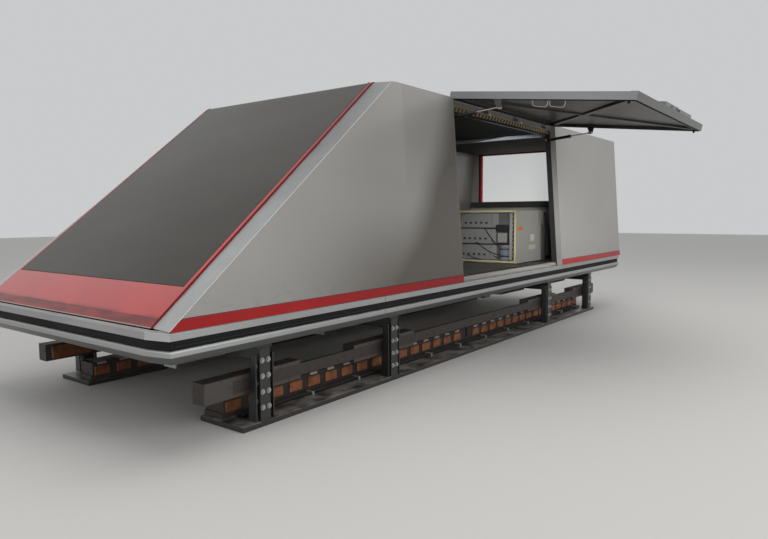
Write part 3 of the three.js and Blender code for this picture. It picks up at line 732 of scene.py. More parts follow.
class Workpiece:
    """A mesh on the bench, shaped by operators until it becomes a piece of the car."""

    def __init__(self, data: bpy.types.Mesh | None = None) -> None:
        """Starts with an empty mesh, or with a copy of another.

        Args:
            data: the mesh that is copied.
        """
        self.mesh = bmesh.new()
        if data:
            self.mesh.from_mesh(data)

    def block(self, low: Point, high: Point) -> "Workpiece":
        """Adds a box between two corners.

        Args:
            low: the lowest corner.
            high: the highest corner.

        Returns:
            This workpiece.
        """
        centre = (Vector(low) + Vector(high)) / 2
        size = Vector(high) - Vector(low)
        matrix = Matrix.Translation(centre) @ Matrix.Diagonal((*size, 1.0))
        bmesh.ops.create_cube(self.mesh, size=1.0, matrix=matrix)
        return self

    def rod(self, start: Point, end: Point, radius: float, sides: int = 16,
            tip: float | None = None) -> "Workpiece":
        """Adds a round bar.

        Args:
            start: the centre of its first end.
            end: the centre of its second end.
            radius: its radius at the start.
            sides: how many flats the round has.
            tip: its radius at the end, where it tapers.

        Returns:
            This workpiece.
        """
        along = Vector(end) - Vector(start)
        turn = along.to_track_quat("Z", "Y").to_matrix().to_4x4()
        matrix = Matrix.Translation((Vector(start) + Vector(end)) / 2) @ turn
        bmesh.ops.create_cone(self.mesh, cap_ends=True, segments=sides, radius1=radius,
                              radius2=radius if tip is None else tip, depth=along.length, matrix=matrix)
        return self

    def plate(self, outline: Sequence[Point], axis: Axis, start: float, end: float) -> "Workpiece":
        """Draws a flat outline out into a plate.

        Args:
            outline: its corners, in the two other axes.
            axis: what it is drawn out along.
            start: where it starts along that axis.
            end: where it ends.

        Returns:
            This workpiece.
        """
        first, second, third = axis.value
        corners = []
        for a, b in outline:
            place = [0.0, 0.0, 0.0]
            place[first], place[second], place[third] = a, b, start
            corners.append(self.mesh.verts.new(place))
        face = self.mesh.faces.new(corners)
        away = [0.0, 0.0, 0.0]
        away[third] = end - start
        drawn = bmesh.ops.extrude_face_region(self.mesh, geom=[face])["geom"]
        moved = [item for item in drawn if isinstance(item, bmesh.types.BMVert)]
        bmesh.ops.translate(self.mesh, verts=moved, vec=away)
        return self._face_out(corners + moved)

    def slanted(self, near: Sequence[Point], far: Sequence[Point]) -> "Workpiece":
        """Adds the solid between two outlines of equal count.

        Args:
            near: the corners of one end.
            far: the matching corners of the other.

        Returns:
            This workpiece.
        """
        verts = [self.mesh.verts.new(corner) for corner in [*near, *far]]
        hull = bmesh.ops.convex_hull(self.mesh, input=verts)["geom"]
        faces = [item for item in hull if isinstance(item, bmesh.types.BMFace)]
        bmesh.ops.recalc_face_normals(self.mesh, faces=faces)
        return self

    def slab(self, x: Point, z: Point, outer: float, inner: float) -> "Workpiece":
        """Adds a slab that lies parallel to the left wall.

        Args:
            x: its rear and front ends.
            z: its lower and upper edges.
            outer: how far its outer face stands off the wall's outer face.
            inner: how far its inner face does, less than outer.

        Returns:
            This workpiece.
        """
        ends = [[(px, SHAPE.wall_y(pz) + off, pz) for pz in z for off in (inner, outer)] for px in x]
        return self.slanted(*ends)

    def tube(self, path: Sequence[Point], radius: float, sides: int = 8) -> "Workpiece":
        """Adds a round bar along a path, by drawing a disc from point to point.

        Args:
            path: the points that its centre passes through.
            radius: its radius.
            sides: how many flats the round has.

        Returns:
            This workpiece.
        """
        points = [Vector(point) for point in path]
        ways = [(b - a).normalized() for a, b in zip(points, points[1:])]
        turns = [ways[0], *[(a + b).normalized() for a, b in zip(ways, ways[1:])], ways[-1]]
        upright = turns[0].to_track_quat("Z", "Y").to_matrix().to_4x4()
        disc = bmesh.ops.create_circle(self.mesh, cap_ends=True, segments=sides, radius=radius,
                                       matrix=Matrix.Translation(points[0]) @ upright)["verts"]
        made = list(disc)
        face = next(item for item in made[0].link_faces if len(item.verts) == sides)
        for here, there, old, new in zip(points, points[1:], turns, turns[1:]):
            drawn = bmesh.ops.extrude_face_region(self.mesh, geom=[face])["geom"]
            ring = [item for item in drawn if isinstance(item, bmesh.types.BMVert)]
            face = next(item for item in drawn if isinstance(item, bmesh.types.BMFace))
            turn = old.rotation_difference(new).to_matrix().to_4x4()
            move = Matrix.Translation(there) @ turn @ Matrix.Translation(-here)
            bmesh.ops.transform(self.mesh, matrix=move, verts=ring)
            made += ring
        return self._face_out(made)

    def _face_out(self, verts: Sequence[Any]) -> "Workpiece":
        """Turns the faces round some vertices outwards."""
        faces = list({face for vert in verts for face in vert.link_faces})
        bmesh.ops.recalc_face_normals(self.mesh, faces=faces)
        return self

    def bolt(self, place: Point, way: Point, across: float, height: float) -> "Workpiece":
        """Adds a hexagon bolt head with a washer.

        Args:
            place: the point on the surface under the washer.
            way: the direction that the head stands out in.
            across: the head's width across its flats.
            height: the head's height.

        Returns:
            This workpiece.
        """
        out = Vector(way).normalized()
        start = Vector(place)
        corner = across / math.sqrt(3)
        self.rod(start, start + out * 0.002, across * 0.8, 14)
        return self.rod(start, start + out * height, corner, 6, corner * 0.94)

    def transform(self, matrix: Matrix) -> "Workpiece":
        """Moves the mesh.

        Args:
            matrix: the movement, which may mirror it.

        Returns:
            This workpiece.
        """
        bmesh.ops.transform(self.mesh, matrix=matrix, verts=list(self.mesh.verts))
        if matrix.to_3x3().determinant() < 0:
            bmesh.ops.reverse_faces(self.mesh, faces=list(self.mesh.faces))
        return self

    def for_side(self, side: Side) -> "Workpiece":
        """Mirrors a piece drawn for the left side when it belongs to the right."""
        return self if side.sign > 0 else self.transform(Matrix.Diagonal((1.0, -1.0, 1.0, 1.0)))

    def clean(self) -> "Workpiece":
        """Merges doubles and joins flat neighbours into whole faces."""
        bmesh.ops.remove_doubles(self.mesh, verts=self.mesh.verts, dist=2e-5)
        bmesh.ops.dissolve_limit(self.mesh, angle_limit=math.radians(0.6), use_dissolve_boundaries=False,
                                 verts=self.mesh.verts, edges=self.mesh.edges, delimit={"NORMAL"})
        return self

    def bevel(self, width: float, least: float = 28.0, segments: int = 2) -> "Workpiece":
        """Rounds every edge that turns by more than an angle.

        Args:
            width: the round's width.
            least: the least angle in degrees.
            segments: how many flats the round has.

        Returns:
            This workpiece.
        """
        limit = math.radians(least)
        sharp = [e for e in self.mesh.edges if len(e.link_faces) == 2 and e.calc_face_angle(0.0) > limit]
        return self._round(sharp, width, segments)

    def _round(self, edges: list[Any], width: float, segments: int) -> "Workpiece":
        """Rounds some edges, each with a number of flats."""
        bmesh.ops.bevel(self.mesh, geom=edges, offset=width, offset_type="OFFSET", affect="EDGES",
                        segments=segments, profile=0.5, material=-1, clamp_overlap=True)
        return self

    def roll_top(self, width: float, top_z: float) -> "Workpiece":
        """Rolls the sloping front over into the flat top.

        Args:
            width: how far the roll reaches along each face.
            top_z: the height of the flat top.

        Returns:
            This workpiece.
        """
        self.mesh.normal_update()
        crest = []
        for edge in self.mesh.edges:
            if len(edge.link_faces) != 2 or min(vert.co.z for vert in edge.verts) < top_z - 1e-4:
                continue
            flat, slope = sorted((face.normal for face in edge.link_faces), key=lambda way: -way.z)
            if flat.z > 0.99 and slope.x > 0.25 and slope.z > 0.2:
                crest.append(edge)
        return self._round(crest, width, 6)

    def part(self, name: str, finish: Finish, body: str = "car", replaces: Sequence[str] = (),
             smooth: float = 40.0) -> bpy.types.Object:
        """Ends the bench work: the mesh becomes a piece that rides on a body.

        Args:
            name: the piece's name.
            finish: what it is finished in.
            body: the construction body that it moves with.
            replaces: the construction nodes that it stands for.
            smooth: edges that turn by less than this are shaded as one surface, in degrees.

        Returns:
            The piece.
        """
        for face in self.mesh.faces:
            face.smooth = True
        for edge in self.mesh.edges:
            edge.smooth = len(edge.link_faces) == 2 and edge.calc_face_angle(0.0) < math.radians(smooth)
        data = bpy.data.meshes.new(name)
        self.mesh.to_mesh(data)
        self.mesh.free()
        piece = bpy.data.objects.new(name, data)
        bpy.context.scene.collection.objects.link(piece)
        data.materials.append(material_of(finish))
        even = piece.modifiers.new("even_normals", "WEIGHTED_NORMAL")
        even.keep_sharp = True
        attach(piece, body)
        if replaces:
            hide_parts(*replaces)
        LOG.info("%s on %s, %d faces", name, body, len(data.polygons))
        return piece

    def fit(self, side: Side, name: str, finish: Finish) -> bpy.types.Object:
        """Ends a piece drawn for the left on the side that it belongs to, with that side's name."""
        return self.for_side(side).part(f"{name}_{side.name}", finish)


@dataclass(frozen=True)
class CarShape:
    """The car's driving sizes, as the construction model has them."""

    foot_z: float = 0.180
    stripe_z: float = 0.232
    ceiling_z: float = 1.435
    roof_z: float = 1.480
    roll: float = 0.022
    foot_half: float = 1.016
    roof_half: float = 0.918
    glass_foot_x: float = 2.954
    glass_top_x: float = 1.343
    half_foot: float = 0.845
    half_top: float = 0.806
    film_wide: float = 0.026
    foot_panel_z: float = 0.343
    lip_z: float = 0.221
    lip_foot_x: float = 2.949
    edge_foot_x: tuple[float, float] = (2.980, 2.887)
    edge_top_x: tuple[float, float] = (1.286, 1.254)
    fold_x: float = 2.968
    fold_z: float = 0.188
    rear_x: float = -3.0
    jamb_front_x: float = 0.573
    jamb_rear_x: float = -1.257
    wall: float = 0.050
    pivot_y: float = 0.875
    pivot_z: float = 1.484
    swing_degrees: float = 79.0
    deck_z: float = 0.122
    ground_z: float = -0.400

    @property
    def nose_angle(self) -> float:
        """The angle of the windscreen above the floor, in radians."""
        return math.atan2(self.roof_z - self.foot_z, self.glass_foot_x - self.glass_top_x)

    def between(self, foot: float, top: float, z: float) -> float:
        """A size that changes evenly from the cabin's foot to its roof, at a height."""
        return top + (self.roof_z - z) * (foot - top) / (self.roof_z - self.foot_z)

    def wall_y(self, z: float) -> float:
        """Half the width over the walls at a height."""
        return self.between(self.foot_half, self.roof_half, z)

    def glass_half(self, z: float) -> float:
        """Half the width over the windscreen's red edges at a height."""
        return self.between(self.half_foot, self.half_top, z)

    def glass_x(self, z: float, proud: float = 0.0) -> float:
        """How far forward the windscreen's outer face stands at a height.

        Args:
            z: the height.
            proud: how far a surface stands off that face, square to it.

        Returns:
            The place along X.
        """
        face = self.between(self.glass_foot_x, self.glass_top_x, max(z, self.lip_z))
        if z < self.lip_z:
            face += (self.lip_foot_x - face) * (self.lip_z - z) / (self.lip_z - self.foot_z)
        return face + proud / math.sin(self.nose_angle)

    def edge_x(self, side: Side, z: float) -> float:
        """How far forward a side wall reaches at a height."""
        index = 0 if side.sign > 0 else 1
        return min(self.between(self.edge_foot_x[index], self.edge_top_x[index], z), self.fold_x)

    def swing(self, side: Side) -> Matrix:
        """How a door's piece, drawn shut on the left, moves to where that side's door stands."""
        if not side.open:
            return Matrix.Identity(4)
        pivot = Vector((0.0, self.pivot_y, self.pivot_z))
        turn = Matrix.Rotation(math.radians(self.swing_degrees), 4, "X")
        return Matrix.Translation(pivot) @ turn @ Matrix.Translation(-pivot)


SHAPE = CarShape()


class Packed:
    """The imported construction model, and the first finish of its nodes."""

    def __init__(self) -> None:
        """Loads the frame and notes its bounds."""
        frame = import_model()
        self.nodes: dict[str, bpy.types.Object] = frame["nodes"]
        self.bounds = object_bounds()

    def copy(self, node: str) -> Workpiece:
        """A merged copy of a node on the bench."""
        return Workpiece(self.nodes[node].data).clean()

    def dress(self, node: str, finish: Finish, rounding: float, least: float = 28.0, segments: int = 2,
              rolled: bool = False) -> None:
        """Replaces a node by a copy with rounded edges.

        Args:
            node: the node's name.
            finish: what the copy is finished in.
            rounding: the width of the rounding.
            least: the least angle that is rounded, in degrees.
            segments: how many flats a round has.
            rolled: whether its sloping front rolls over into the roof.
        """
        piece = self.copy(node)
        if rolled:
            piece.roll_top(SHAPE.roll, SHAPE.roof_z)
        piece.bevel(rounding, least, segments)
        piece.part(f"{node}_finished", finish, self.nodes[node]["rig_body"], (node,))

    def box(self, node: str) -> tuple[Vector, Vector]:
        """A node's lowest and highest corners."""
        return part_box(node)


@dataclass
class SubAssembly:
    """A group of pieces that is built and dressed together."""

    model: Packed

    def build(self) -> None:
        """Builds every piece of the group."""
        raise NotImplementedError


@dataclass
class Nose(SubAssembly):
    """The raked windscreen with its red surround and the corner strips."""

    film_edge: tuple[float, float] = (-0.0006, 0.0009)
    seal_half: float = 0.001
    band_corner: tuple[Point, Point] = ((3.0, 0.882), (2.9685, 1.014))

    def build(self) -> None:
        """Builds the nose."""
        self.model.dress("windscreen_glass", SCREEN, 0.002, rolled=True)
        self.model.dress("windscreen_surround", SCREEN_RED, 0.0015, least=50.0, rolled=True)
        near, far = -SHAPE.film_wide - self.seal_half, -SHAPE.film_wide + self.seal_half
        for side in SIDES:
            self.model.dress(f"nose_corner_{side.name}", SILVER, 0.003, rolled=True)
            edge = self._beside_glass(*self.film_edge, -0.0004, 0.012, SHAPE.foot_z + 0.003)
            edge.fit(side, "pane_edge", SHADED_PANE_EDGE)
            seal = self._beside_glass(near, far, 0.0008, 0.004, SHAPE.foot_panel_z)
            seal.fit(side, "pane_seal", RUBBER)
            self._corner_trim(side)
        self._foot_joint()
        self._lip_edge()

    def _beside_glass(self, near: float, far: float, proud: float, deep: float, low_z: float) -> Workpiece:
        """A strip that follows the windscreen's left edge up to the roof.

        Args:
            near: where it starts, outwards from the edge.
            far: where it ends, outwards from the edge.
            proud: how far it stands off the glass.
            deep: how deep it is.
            low_z: the height that it starts from.

        Returns:
            The workpiece.
        """
        piece = Workpiece()
        heights = [low_z, SHAPE.roof_z + max(proud, 0.0) * 0.8]
        if low_z < SHAPE.lip_z:
            heights.insert(1, SHAPE.lip_z)
        rings = [[(SHAPE.glass_x(z, off), SHAPE.glass_half(z) + y, z)
                  for off in (proud, proud - deep) for y in (near, far)] for z in heights]
        for below, above in zip(rings, rings[1:]):
            piece.slanted(below, above)
        return piece.roll_top(SHAPE.roll, heights[-1])

    def _foot_joint(self) -> None:
        """Lays the black sealing line between the glass and the red foot panel."""
        joint = Workpiece()
        z = SHAPE.foot_panel_z
        half = SHAPE.glass_half(z) - SHAPE.film_wide
        near, far = ([(SHAPE.glass_x(pz, off), y, pz) for pz in (z - 0.0008, z + 0.0018)
                      for off in (-0.004, 0.0008)] for y in (-half, half))
        joint.slanted(near, far)
        joint.part("screen_foot_seal", RUBBER)

    def _corner_trim(self, side: Side) -> None:
        """Runs a bright steel rod up the corner strip's outer edge as a painted highlight, and caps the upper
        band's corner below it.
        """
        line = Workpiece()
        ends = [(SHAPE.edge_x(side, z), SHAPE.wall_y(z), z) for z in (SHAPE.fold_z, SHAPE.roof_z - 0.012)]
        # Painted highlight: a thin bright rod standing in for the light caught along the edge.
        line.rod(*ends, 0.0016, 10)
        line.fit(side, "corner_line", STEEL)
        corners = [[(x + off * 0.973, y + off * 0.229, z)
                    for z in (0.145, 0.1785) for off in (-0.002, 0.0012)] for x, y in self.band_corner]
        cap = Workpiece().slanted(*corners)
        cap.bevel(0.0008).fit(side, "band_corner", SILVER)

    def _lip_edge(self) -> None:
        """Lays the chipped pale edge along the foot of the red lip."""
        edge = Workpiece()
        z = SHAPE.foot_z + 0.003
        half = SHAPE.glass_half(z) - 0.002
        x = SHAPE.glass_x(z)
        edge.block((x - 0.008, -half, z - 0.0018), (x + 0.0022, half, z + 0.0022))
        edge.bevel(0.001).part("screen_lip_edge", LIP_EDGE)


@dataclass
class Walls(SubAssembly):
    """The sloping side walls with the red stripe moulding along their foot."""

    moulding: float = 0.005
    shoulder: float = 0.075
    shoulder_steps: int = 8
    inset: float = 0.003

    def build(self) -> None:
        """Builds the walls."""
        for side in SIDES:
            self.model.dress(f"side_front_{side.name}", PANEL, 0.003, rolled=True)
            self.model.dress(f"side_rear_{side.name}", PANEL, 0.003)
            self._stripe(side, "front", SHAPE.jamb_front_x + 0.001, None)
            self._stripe(side, "rear", SHAPE.rear_x + 0.002, SHAPE.jamb_rear_x - 0.001)
            self._jamb_trim(side)

    def stripe_outline(self, side: Side, rear: float, front: float | None, low: float,
                       grown: float) -> list[Point]:
        """The moulding's outline in X and Z, with a rounded shoulder where it follows the nose.

        Args:
            side: the side of the car.
            rear: its rear end.
            front: its front end, or nothing where it follows the wall's front edge.
            low: its lower edge.
            grown: how much further it reaches at its top and front.

        Returns:
            The outline's corners.
        """
        top = SHAPE.stripe_z
        if front is not None:
            return [(rear, low), (front, low), (front, top + grown), (rear, top + grown)]
        run = SHAPE.edge_x(side, SHAPE.fold_z) - SHAPE.edge_x(side, top)
        slope = math.atan2(top - SHAPE.fold_z, run)
        shoulder = self.shoulder + grown
        x = SHAPE.edge_x(side, top) - self.inset - self.shoulder * math.tan(slope / 2)
        z = top - self.shoulder
        turns = [slope * (1 - step / self.shoulder_steps) for step in range(self.shoulder_steps + 1)]
        arc = [(x + shoulder * math.sin(turn), z + shoulder * math.cos(turn)) for turn in turns]
        inset = self.inset - grown
        foot = [(SHAPE.edge_x(side, height) - inset, height) for height in (low, SHAPE.fold_z)]
        return [(rear, low), *foot, *arc, (rear, top + grown)]

    def stripe(self, side: Side, rear: float, front: float | None, low: float, proud: float,
               grown: float = 0.0) -> Workpiece:
        """The stripe moulding on the left wall, leaning with it.

        Args:
            side: the side whose nose it follows.
            rear: its rear end.
            front: its front end, or nothing where it follows the wall's front edge.
            low: its lower edge.
            proud: how far it stands off the wall.
            grown: how much further it reaches at its top and front.

        Returns:
            The workpiece.
        """
        outline = self.stripe_outline(side, rear, front, low, grown)
        piece = Workpiece().plate(outline, Axis.Y, 0.0, proud)
        for vert in piece.mesh.verts:
            vert.co.y += SHAPE.wall_y(vert.co.z)
        return piece

    def _stripe(self, side: Side, place: str, rear: float, front: float | None) -> None:
        """Fits one stretch of the stripe with the thin dark line round its top and front."""
        low = SHAPE.foot_z + 0.002
        piece = self.stripe(side, rear, front, low, self.moulding).bevel(0.0018, segments=3)
        piece.fit(side, f"stripe_{place}", RED)
        line = self.stripe(side, rear, front, low, 0.0009, grown=0.0022)
        line.fit(side, f"stripe_line_{place}", RUBBER)

    def _jamb_trim(self, side: Side) -> None:
        """Fits the folded edge trims on the doorway's two jambs."""
        for place, x, way in (("front", SHAPE.jamb_front_x, 1), ("rear", SHAPE.jamb_rear_x, -1)):
            trim = Workpiece()
            near, far = sorted((x - way * 0.001, x + way * 0.010))
            trim.slab((near, far), (SHAPE.stripe_z + 0.004, SHAPE.roof_z - 0.002), 0.0016, -0.012)
            trim.bevel(0.0007).fit(side, f"jamb_trim_{place}", PANEL)


@dataclass
class RoofAndRear(SubAssembly):
    """The roof panel, the rear wall with its window, and the shelf under it."""

    joint: float = 0.004
    hatch_y: float = 0.42
    hatch_half: float = 0.33
    hatch_z: tuple[float, float] = (0.30, 0.70)
    hatch_gap: float = 0.006

    def build(self) -> None:
        """Builds the roof and the rear."""
        self.model.dress("roof_panel", PANEL, 0.003)
        self.model.dress("rear_wall", PANEL, 0.003)
        self.model.dress("rear_window_trim", RED, 0.002)
        self.model.dress("rear_window", PANE, 0.001)
        self.model.dress("rear_shelf", DARK, 0.004)
        self._roof_joints()
        self._window_rubber()
        self._rear_hatches()
        self._shelf_vents()

    def _roof_joints(self) -> None:
        """Fills the joints between the roof and the walls with black sealing line."""
        foot, top, half = SHAPE.roof_z - 0.004, SHAPE.roof_z + 0.0012, self.joint / 2
        y = SHAPE.roof_half - SHAPE.wall
        runs = ((SHAPE.rear_x + 0.05, SHAPE.jamb_rear_x), (SHAPE.jamb_front_x, SHAPE.glass_top_x - 0.16))
        for side in SIDES:
            seam_and_highlight = Workpiece()
            for rear, front in runs:
                seam_and_highlight.block((rear, y - half, foot), (front, y + half, top))
            seam_and_highlight.fit(side, "roof_seam", RUBBER)
        cross = Workpiece()
        low, high = self.model.box("roof_panel")
        cross.block((low.x - self.joint, -high.y, foot), (low.x + half, high.y, top))
        cross.part("roof_seam_rear", RUBBER)

    def _window_rubber(self) -> None:
        """Fits the rubber profile round the rear window, inside and out."""
        low, high = self.model.box("rear_window_trim")
        inner = SHAPE.rear_x + SHAPE.wall
        y, z = (low.y - 0.010, high.y + 0.010), (low.z - 0.010, high.z + 0.010)
        for place, x in (("outside", (SHAPE.rear_x - 0.004, SHAPE.rear_x + 0.004)),
                         ("inside", (inner - 0.004, inner + 0.003))):
            ring = Workpiece()
            frame_ring(ring, y, z, 0.014, x)
            ring.bevel(0.002).part(f"rear_window_rubber_{place}", RUBBER)

    def _rear_hatches(self) -> None:
        """Fits two service hatches with latches low on the rear wall."""
        inner, (low, high) = SHAPE.rear_x + 0.002, self.hatch_z
        for index, y in enumerate((-self.hatch_y, self.hatch_y)):
            half = self.hatch_half
            hatch = Workpiece().block((SHAPE.rear_x - 0.004, y - half, low), (inner, y + half, high))
            hatch.bevel(0.0025).part(f"rear_hatch_{index}", PANEL)
            half += self.hatch_gap
            gap = Workpiece().block((SHAPE.rear_x - 0.0012, y - half, low - self.hatch_gap),
                                    (inner, y + half, high + self.hatch_gap))
            gap.part(f"rear_hatch_gap_{index}", RUBBER)
            latches = Workpiece()
            for place in (-0.24, 0.24):
                centre = Vector((SHAPE.rear_x - 0.004, y + place, 0.66))
                latches.rod(centre, centre - Vector((0.003, 0, 0)), 0.017, 24)
                latches.block(centre + Vector((-0.006, -0.003, -0.013)),
                              centre + Vector((-0.002, 0.003, 0.013)))
            latches.bevel(0.0008).part(f"rear_hatch_latches_{index}", ZINC)

    def _shelf_vents(self) -> None:
        """Fits rows of vent slats along the shelf's front."""
        low, high = self.model.box("rear_shelf")
        slats = Workpiece()
        for step in range(7):
            y = -0.66 + step * 0.22
            for row in range(3):
                z = low.z + 0.014 + row * 0.015
                slats.block((high.x - 0.001, y - 0.08, z), (high.x + 0.004, y + 0.08, z + 0.006))
        slats.bevel(0.001).part("rear_shelf_vents", BLACK)


def frame_ring(piece: Workpiece, y: Point, z: Point, wide: float, x: Point) -> None:
    """Adds a flat rectangular ring that stands across the car.

    Args:
        piece: what it is added to.
        y: its two sides.
        z: its foot and top.
        wide: how wide its bars are.
        x: its two faces.
    """
    piece.block((x[0], y[0], z[0]), (x[1], y[1], z[0] + wide))
    piece.block((x[0], y[0], z[1] - wide), (x[1], y[1], z[1]))
    piece.block((x[0], y[0], z[0] + wide), (x[1], y[0] + wide, z[1] - wide))
    piece.block((x[0], y[1] - wide, z[0] + wide), (x[1], y[1], z[1] - wide))


@dataclass
class SkirtBands(SubAssembly):
    """The aluminium and rubber bands round the foot of the cabin, and the floor deck."""

    joint_xs: tuple[float, ...] = (-1.5, 1.5)

    def build(self) -> None:
        """Builds the bands."""
        self.model.dress("upper_band", BAND, 0.004, segments=3)
        self.model.dress("rubber_band", RUBBER, 0.002)
        self.model.dress("lower_band", BAND, 0.0035, segments=3)
        self.model.dress("floor_deck", DARK, 0.002)
        self._joints()
        self._rubber_ribs()

    def _joints(self) -> None:
        """Cuts the bands' lengths with thin joint covers."""
        for side in SIDES:
            covers = Workpiece()
            for x in self.joint_xs:
                for node in ("upper_band", "lower_band"):
                    low, high = self.model.box(node)
                    foot = low.z + (0.001 if node == "upper_band" else 0.037)
                    covers.block((x - 0.0012, high.y - 0.006, foot),
                                 (x + 0.0012, high.y + 0.0004, high.z - 0.004))
            covers.fit(side, "band_joints", RUBBER)

    def _rubber_ribs(self) -> None:
        """Runs two ribs along the rubber band on each side."""
        low, high = self.model.box("rubber_band")
        end = -SHAPE.rear_x - 0.06
        for side in SIDES:
            ribs = Workpiece()
            for z in (low.z + 0.011, high.z - 0.011):
                ribs.rod((-end, high.y - 0.001, z), (end, high.y - 0.001, z), 0.004, 10)
            ribs.fit(side, "rubber_ribs", RUBBER)


@dataclass
class Doorways(SubAssembly):
    """What stays on the car round each door: posts, header, sill, hinge, seals and the warning strip."""

    header_z: float = 1.400
    header_y: float = SHAPE.roof_half - SHAPE.wall - 0.006
    hazard_low: float = 1.404
    hazard_high: float = 1.432
    hinge_xs: tuple[float, ...] = (-1.129, -0.543, -0.009)
    plate_xs: tuple[float, ...] = (-0.090, -0.660)
    panel_ends: tuple[Point, ...] = ((-2.90, -1.95), (-1.94, -1.00), (-0.99, -0.05), (-0.04, 0.62))
    lamp_ys: tuple[float, ...] = (-0.74, -0.61, -0.51, 0.51, 0.61, 0.74)

    def build(self) -> None:
        """Builds both doorways."""
        for side in SIDES:
            self.model.dress(f"door_surround_{side.name}", BLACK, 0.003)
            self.model.dress(f"door_hinge_{side.name}", DARK, 0.0015)
            self.model.dress(f"door_sill_{side.name}", SILL, 0.003)
            self._hazard_strip(side)
            self._seals(side)
            self._sill_treads(side)
            self._hinge_screws(side)
            self._hinge_tube(side)
            self._post_details(side)
        self._ceiling()
        self._lamps()

    def _hazard_strip(self, side: Side) -> None:
        """Sticks the striped warning tape along the header's outer edge."""
        tape = Workpiece()
        tape.block((SHAPE.jamb_rear_x + 0.02, self.header_y - 0.001, self.hazard_low),
                   (SHAPE.jamb_front_x - 0.02, self.header_y + 0.0015, self.hazard_high))
        tape.fit(side, "hazard_strip", HAZARD)

    def _seals(self, side: Side) -> None:
        """Runs a round rubber seal round the inside of the opening."""
        inset = SHAPE.wall + 0.010
        front, rear = SHAPE.jamb_front_x + 0.012, SHAPE.jamb_rear_x - 0.012
        low, high = SHAPE.stripe_z + 0.01, self.header_z - 0.005
        for place, x in (("front", front), ("rear", rear)):
            seal = Workpiece().tube([(x, SHAPE.wall_y(z) - inset, z) for z in (low, high)], 0.007, 10)
            seal.fit(side, f"jamb_seal_{place}", RUBBER)
        head = Workpiece()
        y = SHAPE.roof_half - SHAPE.wall - 0.014
        head.tube([(rear, y, high), (front, y, high)], 0.007, 10)
        head.fit(side, "header_seal", RUBBER)

    def _sill_treads(self, side: Side) -> None:
        """Lays rubber treads along the sill."""
        low, high = self.model.box(f"door_sill_{side.name}")
        near = min(abs(low.y), abs(high.y))
        treads = Workpiece()
        for row in range(4):
            y = near + 0.010 + row * 0.012
            treads.block((SHAPE.jamb_rear_x + 0.06, y, high.z - 0.0005),
                         (SHAPE.jamb_front_x - 0.06, y + 0.005, high.z + 0.0015))
        treads.bevel(0.0006).fit(side, "sill_treads", RUBBER)

    def _hinge_screws(self, side: Side) -> None:
        """Sets screws along the hinge's leaf."""
        low, high = self.model.box(f"door_hinge_{side.name}")
        y = SHAPE.pivot_y - 0.065
        top = SHAPE.roof_z + 0.0063
        screws = Workpiece()
        count = 22
        for step in range(count):
            x = low.x + 0.03 + (high.x - low.x - 0.06) * step / (count - 1)
            screws.bolt((x, y, top - 0.0004), (0, 0, 1), 0.009, 0.0022)
        screws.fit(side, "hinge_screws", ZINC)

    def _hinge_tube(self, side: Side) -> None:
        """Closes the slot at the door's root with rubber tube between the knuckles."""
        starts = [SHAPE.jamb_rear_x + 0.010, *(x + 0.096 for x in self.hinge_xs)]
        ends = [*(x - 0.034 for x in self.hinge_xs), SHAPE.jamb_front_x - 0.010]
        tube = Workpiece()
        for start, end in zip(starts, ends):
            tube.rod((start, SHAPE.pivot_y, SHAPE.pivot_z), (end, SHAPE.pivot_y, SHAPE.pivot_z), 0.0085, 16)
        tube.fit(side, "hinge_tube", RUBBER)

    def _post_details(self, side: Side) -> None:
        """Sets two white plates on the header above the tape, and the screws on the posts."""
        plates = Workpiece()
        for x in self.plate_xs:
            plates.block((x - 0.013, self.header_y - 0.001, self.hazard_high + 0.002),
                         (x + 0.013, self.header_y + 0.002, 1.452))
        plates.bevel(0.0008).fit(side, "header_plates", WHITE)
        screws = Workpiece()
        for x, way in ((SHAPE.jamb_front_x, -1), (SHAPE.jamb_rear_x, 1)):
            for step in range(6):
                z = 0.30 + step * 0.19
                screws.bolt((x, SHAPE.wall_y(z) - 0.076, z), (way, 0, 0), 0.011, 0.0022)
        screws.fit(side, "post_screws", BLACK)

    def _ceiling(self) -> None:
        """Lines the cabin's ceiling with dark panels."""
        panel = Workpiece()
        for rear, front in self.panel_ends:
            panel.block((rear, -0.775, SHAPE.ceiling_z - 0.014), (front, 0.775, SHAPE.ceiling_z - 0.002))
        panel.bevel(0.003).part("ceiling_panels", CEILING)

    def _lamps(self) -> None:
        """Fits a pale bar with small lamps across the cabin, behind the doorways."""
        bar = Workpiece().block((-1.318, -0.77, 1.388), (-1.296, 0.77, SHAPE.ceiling_z - 0.0145))
        bar.bevel(0.002).part("lamp_bar", STRIP)
        lamps = Workpiece()
        for y in self.lamp_ys:
            lamps.block((-1.297, y - 0.011, 1.398), (-1.291, y + 0.011, 1.410))
        lamps.bevel(0.0015).part("bar_lamps", WHITE)


